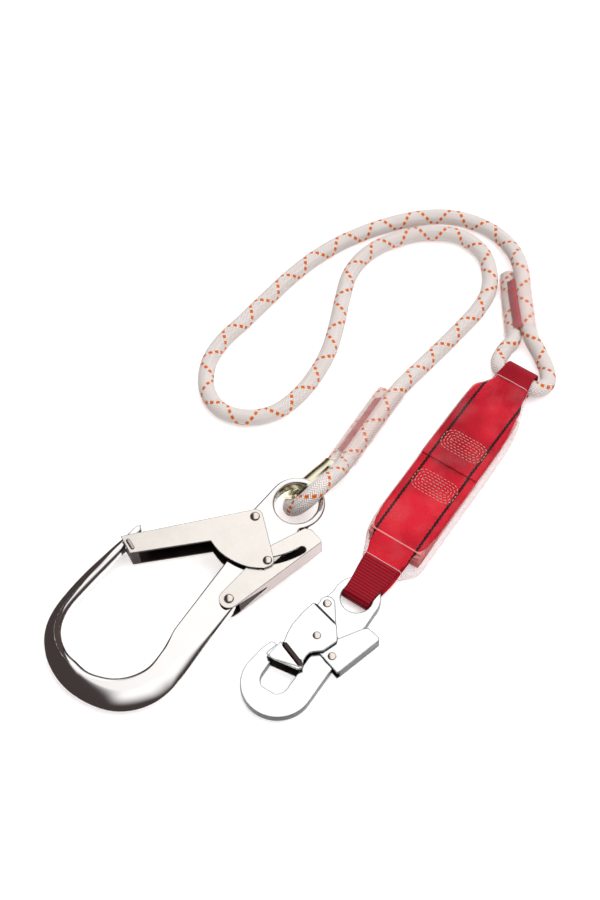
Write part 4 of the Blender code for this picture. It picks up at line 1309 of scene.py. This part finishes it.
@dataclass
class DomedRivet:
    """A rivet or pin with a domed head at each end."""

    node: str
    body: Body
    place: Matrix
    dome: float
    waist: float = 0.55
    steps: int = 8

    def build(self, nodes: dict[str, bpy.types.Object], material: bpy.types.Material) -> bpy.types.Object:
        """Turn the rivet on its own axis.

        Args:
            nodes: The CAD pieces by name.
            material: The rivet's finish.

        Returns:
            The rivet.
        """
        inverse = self.place.inverted()
        corners = [inverse @ vertex.co for vertex in nodes[self.node].data.vertices]
        low, high = (Vector([rule(c[axis] for c in corners) for axis in range(3)]) for rule in (min, max))
        centre, radius, dome = (low + high) / 2, (high.x - low.x) / 2, self.dome * MM
        shape = bmesh.new()
        section = [Vector((radius * math.sin(math.pi / 2 * i / self.steps), 0.0,
                           high.z - dome + dome * math.cos(math.pi / 2 * i / self.steps)))
                   for i in range(self.steps + 1)]
        section += [Vector((radius, 0.0, high.z - dome - 0.1 * MM)),
                    Vector((radius * self.waist, 0.0, high.z - dome - 0.1 * MM))]
        section += [Vector((p.x, 0.0, low.z + high.z - p.z)) for p in reversed(section)]
        points = [shape.verts.new(Vector((centre.x, centre.y, 0.0)) + p) for p in section]
        lines = [shape.edges.new(pair) for pair in zip(points, points[1:])]
        bmesh.ops.spin(shape, geom=points + lines, cent=(centre.x, centre.y, 0.0), axis=(0.0, 0.0, 1.0),
                       angle=math.tau, steps=32, use_merge=True)
        bmesh.ops.remove_doubles(shape, verts=shape.verts, dist=1e-7)
        bmesh.ops.recalc_face_normals(shape, faces=shape.faces)
        rivet = finished(f"{self.node}_domed", shape, material, self.body, self.place, sharp=50.0)
        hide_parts(self.node)
        return rivet


@dataclass
class FoldBar:
    """A rounded fold pressed into a sheet: half a bar that lies on its face."""

    name: str
    start: tuple[float, float]
    end: tuple[float, float]
    face: float
    width: float
    height: float
    body: Body
    place: Matrix

    def build(self, material: bpy.types.Material) -> bpy.types.Object:
        """Lay the fold on the face."""
        start, end = Vector((*self.start, self.face)), Vector((*self.end, self.face))
        along = (end - start).normalized()
        across = Vector((0.0, 0.0, 1.0)).cross(along)
        rings = []
        for i in range(13):
            share = i / 12
            size = math.sqrt(max(0.0, 1.0 - abs(2 * share - 1) ** 10)) * 0.98 + 0.02
            rings.append([start.lerp(end, share) + across * p.x * self.width / 2 * size
                          + Vector((0.0, 0.0, p.y * self.height * size))
                          for p in arc((0.0, 0.0), 1.0, 0.0, 180.0, 14)]
                         + [start.lerp(end, share) + across * x * self.width / 2 * size
                            + Vector((0.0, 0.0, -0.3)) for x in (-0.8, 0.8)])
        shape = bmesh.new()
        skin(shape, rings)
        return finished(self.name, shape, material, self.body, self.place, sharp=60.0)


# ---------------------------------------------------------------- studio

@dataclass
class Studio:
    """A pale table, lit a little from within, under a soft white ceiling, with the room dark beyond it.

    Each dark edge gives an axis of the direction and the places where it is dark and where it is light.
    """

    target: Point = (0.0002, 0.0729, 0.0)
    distance: float = 1.45
    elevation: float = 59.0
    lens: float = 80.0
    ceiling: float = 1.3
    glow: float = 0.36
    room: tuple[float, float, float, float] = (0.065, 0.052, 0.050, 1.0)
    dark_edges: tuple[tuple[int, float, float], ...] = (
        (0, -0.38, -0.12), (0, 0.85, 0.55), (1, -0.60, -0.16), (2, 0.25, 0.55))

    def build_camera(self) -> None:
        """Place the camera."""
        data = bpy.data.cameras.new("studio_camera")
        data.lens = self.lens
        data.sensor_width = 36.0
        data.clip_start, data.clip_end = 0.01, 50.0
        camera = bpy.data.objects.new("studio_camera", data)
        bpy.context.scene.collection.objects.link(camera)
        rise = math.radians(self.elevation)
        back = Vector((0.0, -math.cos(rise), math.sin(rise)))
        camera.location = Vector(self.target) + back * self.distance
        camera.rotation_mode = "QUATERNION"
        camera.rotation_quaternion = (-back).to_track_quat("-Z", "Y")
        bpy.context.scene.camera = camera

    def build_floor(self) -> None:
        """Lay the pale floor."""
        graph = Graph("pale_table_top")
        graph.set(Base_Color=(0.93, 0.925, 0.927, 1.0), Roughness=0.9, Specular_IOR_Level=0.1,
                  Emission_Color=(1.0, 0.985, 0.99, 1.0), Emission_Strength=self.glow)
        mesh = bpy.data.meshes.new("table_top")
        shape = bmesh.new()
        bmesh.ops.create_circle(shape, cap_ends=True, segments=96, radius=6.0)
        shape.to_mesh(mesh)
        shape.free()
        mesh.materials.append(graph.material)
        floor = bpy.data.objects.new("table_top", mesh)
        bpy.context.scene.collection.objects.link(floor)

    def build_room(self) -> None:
        """Light the room: white overhead, and dark low down, in front and far out to both sides."""
        world = bpy.data.worlds.new("studio_room")
        world.use_nodes = True
        tree = world.node_tree
        background = tree.nodes["Background"]
        where = tree.nodes.new("ShaderNodeTexCoord")
        split = tree.nodes.new("ShaderNodeSeparateXYZ")
        tree.links.new(where.outputs["Object"], split.inputs[0])
        share = None
        for axis, low, high in self.dark_edges:
            step = tree.nodes.new("ShaderNodeMapRange")
            step.interpolation_type = "SMOOTHSTEP"
            tree.links.new(split.outputs[axis], step.inputs["Value"])
            step.inputs["From Min"].default_value = low
            step.inputs["From Max"].default_value = high
            if share is None:
                share = step.outputs[0]
                continue
            both = tree.nodes.new("ShaderNodeMath")
            both.operation = "MULTIPLY"
            tree.links.new(share, both.inputs[0])
            tree.links.new(step.outputs[0], both.inputs[1])
            share = both.outputs[0]
        mix = tree.nodes.new("ShaderNodeMix")
        mix.data_type = "RGBA"
        mix.inputs["A"].default_value = self.room
        mix.inputs["B"].default_value = (self.ceiling, self.ceiling, self.ceiling, 1.0)
        tree.links.new(share, mix.inputs["Factor"])
        tree.links.new(mix.outputs["Result"], background.inputs["Color"])
        bpy.context.scene.world = world

    def build_lamps(self) -> None:
        """Hang one wide soft lamp that fills the cloth without showing in the polish."""
        data = bpy.data.lights.new("soft_box", "AREA")
        data.shape = "RECTANGLE"
        data.size, data.size_y = 3.2, 2.6
        data.energy = 50.0
        data.color = (1.0, 0.995, 0.99)
        lamp = bpy.data.objects.new("soft_box", data)
        lamp.location = (0.35, 0.1, 2.1)
        lamp.rotation_mode = "QUATERNION"
        lamp.rotation_quaternion = (Vector(self.target) - lamp.location).to_track_quat("-Z", "Y")
        lamp.visible_glossy = False
        bpy.context.scene.collection.objects.link(lamp)

    def build(self) -> None:
        """Make the floor, the room and the lamps."""
        self.build_floor()
        self.build_room()
        self.build_lamps()
        bpy.context.scene.view_settings.view_transform = "Standard"


# ---------------------------------------------------------------- the lanyard

def build_nose_plate(plate: bpy.types.Material) -> None:
    """Lay the flat nose of the snap hook's gate over its cheek, in the finish given."""
    shape = bmesh.new()
    corners = [shape.verts.new(Vector((x, y, 6.92)) * MM)
               for x, y in ((-57.6, 25.0), (-70.4, 26.6), (-71.4, 22.4), (-66.6, 3.4), (-64.6, 3.0))]
    raised = bmesh.ops.extrude_face_region(shape, geom=[shape.faces.new(corners)])["geom"]
    bmesh.ops.translate(shape, verts=[v for v in raised if isinstance(v, bmesh.types.BMVert)],
                        vec=(0.0, 0.0, 0.3 * MM))
    bmesh.ops.recalc_face_normals(shape, faces=shape.faces)
    finished("snap_gate_nose_plate", shape, plate, Body.SNAP_GATE, SNAP_HOOK_PLACE)


def build_metals(nodes: dict[str, bpy.types.Object], polished: bpy.types.Material) -> None:
    """Make the hooks' metal pieces.

    Args:
        nodes: The CAD pieces by name.
        polished: The polished steel.
    """
    BigHookBody().build(polished)
    # The outlines below paint dark edge reflections into the colour.
    satin = Metal("satin_nickel_plate", (0.84, 0.79, 0.735, 1.0), 0.22, mottle=0.25,
                  stain=(0.78, 0.74, 0.72, 1.0), outline=0.9).build()
    # Painted shade: the side faces get a darker copy of the satin plate.
    satin_side = Metal("satin_nickel_painted_side_shade", (0.52, 0.44, 0.43, 1.0), 0.26, mottle=0.2, outline=1.2).build()
    # Painted shade: near-black metal on the faces inside the channels, and on the end walls of the scaffold
    # hook's gate and lever, where shade falls.
    dark = Metal("painted_channel_shade", (0.050, 0.036, 0.034, 1.0), 0.5).build()
    zinc = Metal("bright_zinc_plate", (0.86, 0.88, 0.875, 1.0), 0.12, mottle=0.10,
                 stain=(0.80, 0.84, 0.80, 1.0), outline=1.5).build()
    # Painted reflection: the snap hook's side faces are near black, in place of the dark room seen in them.
    zinc_side = Metal("painted_dark_zinc_side", (0.075, 0.075, 0.08, 1.0), 0.24).build()
    rivet = Metal("plated_rivet", (0.72, 0.64, 0.58, 1.0), 0.12, outline=0.8).build()
    # Painted shade: dark metal for the bars laid over the step at the snap gate's nose and along its joggle
    # line.
    fold = Metal("painted_fold_shade", (0.055, 0.036, 0.034, 1.0), 0.2).build()
    spring = Metal("spring_wire", (0.38, 0.37, 0.36, 1.0), 0.28).build()
    for name, inner in (("big_hook_gate", 8.1), ("big_hook_lever", 6.4)):
        refine(nodes[name], Pressing(satin, satin_side, dark, BIG_HOOK_PLACE, inner, Place.INSIDE), 0.25)
    for name, inner, end in (("snap_hook_body", 0.0, Place.SIDE), ("snap_hook_gate", 5.7, Place.FACE),
                             ("snap_hook_lever", 3.4, Place.SIDE)):
        refine(nodes[name], Pressing(zinc, zinc_side, dark, SNAP_HOOK_PLACE, inner, end), 0.25)
    for name, body, place, dome in (
            ("big_hook_gate_rivet", Body.BIG_HOOK, BIG_HOOK_PLACE, 1.4),
            ("big_hook_lever_rivet", Body.BIG_HOOK, BIG_HOOK_PLACE, 1.4),
            ("big_hook_lock_pin", Body.BIG_GATE, BIG_HOOK_PLACE, 1.4),
            ("snap_hook_gate_rivet", Body.SNAP_HOOK, SNAP_HOOK_PLACE, 0.8),
            ("snap_hook_lever_rivet", Body.SNAP_HOOK, SNAP_HOOK_PLACE, 0.8),
            ("snap_hook_lock_pin", Body.SNAP_GATE, SNAP_HOOK_PLACE, 0.8)):
        DomedRivet(name, body, place, dome).build(nodes, rivet)
    # The snap gate's fold and joggle are dark bars that paint the shade of its step and joggle line; the
    # scaffold gate's fold takes the painted side shade.
    FoldBar("snap_gate_fold", (-57.2, 23.4), (-65.4, 2.4), 6.95, 4.4, 0.9, Body.SNAP_GATE,
            SNAP_HOOK_PLACE).build(fold)
    FoldBar("snap_gate_joggle", (-20.6, 21.2), (-26.2, 0.4), 6.9, 1.6, 0.25, Body.SNAP_GATE,
            SNAP_HOOK_PLACE).build(fold)
    build_nose_plate(zinc)
    FoldBar("big_gate_fold", (-89.6, 80.4), (-93.4, 71.6), 9.6, 3.0, 0.7, Body.BIG_GATE,
            BIG_HOOK_PLACE).build(satin_side)
    for name in ("big_hook_gate_spring", "big_hook_lever_spring", "snap_hook_gate_spring",
                 "snap_hook_lever_spring"):
        refine(nodes[name], spring, 0.0)


def main() -> None:
    """Build the studio and every piece of the lanyard."""
    logging.basicConfig(level=logging.INFO, format="%(message)s")
    studio = Studio()
    studio.build_camera()
    film = ClearVinyl("clear_cover_film").build()
    sleeve = ClearVinyl("clear_sleeve_film", tint=(0.97, 0.70, 0.65, 1.0), facing=0.07, edge=0.34).build()
    rim = ClearVinyl("film_rim", facing=0.35, edge=0.8).build()
    red = SewingThread("red_thread", (0.56, 0.02, 0.05, 1.0), (0.28, 0.004, 0.02, 1.0)).build()
    white = SewingThread("white_thread", (0.80, 0.42, 0.35, 1.0), (0.50, 0.16, 0.14, 1.0)).build()
    yellow = Metal("yellow_zinc_plate", (0.72, 0.68, 0.52, 1.0), 0.12, mottle=0.3,
                   stain=(0.66, 0.66, 0.40, 1.0)).build()
    # The forging's outline paints a dark edge reflection into its colour.
    polished = Metal("polished_forging", (0.80, 0.78, 0.765, 1.0), 0.075, mottle=0.05, wear=0.02,
                     grain=0.000004, outline=1.6, painted_edge_shade=(0.07, 0.05, 0.048, 1.0)).build()
    pieces = [Thimble().build(yellow)]
    for splice in SPLICES:
        pieces += [splice.build_sleeve(sleeve), splice.build_band(red)]
    Rope().build(pieces)
    Absorber().build(film, rim, white)
    build_metals(FRAME["nodes"], polished)
    studio.build()


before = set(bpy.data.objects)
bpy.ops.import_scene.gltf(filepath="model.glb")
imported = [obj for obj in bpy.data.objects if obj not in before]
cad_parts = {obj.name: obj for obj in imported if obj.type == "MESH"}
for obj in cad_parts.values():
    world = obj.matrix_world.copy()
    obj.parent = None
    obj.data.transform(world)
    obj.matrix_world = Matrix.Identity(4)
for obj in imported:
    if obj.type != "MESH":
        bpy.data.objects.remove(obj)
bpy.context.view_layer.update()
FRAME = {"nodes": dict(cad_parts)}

if __name__ == "__main__":
    main()
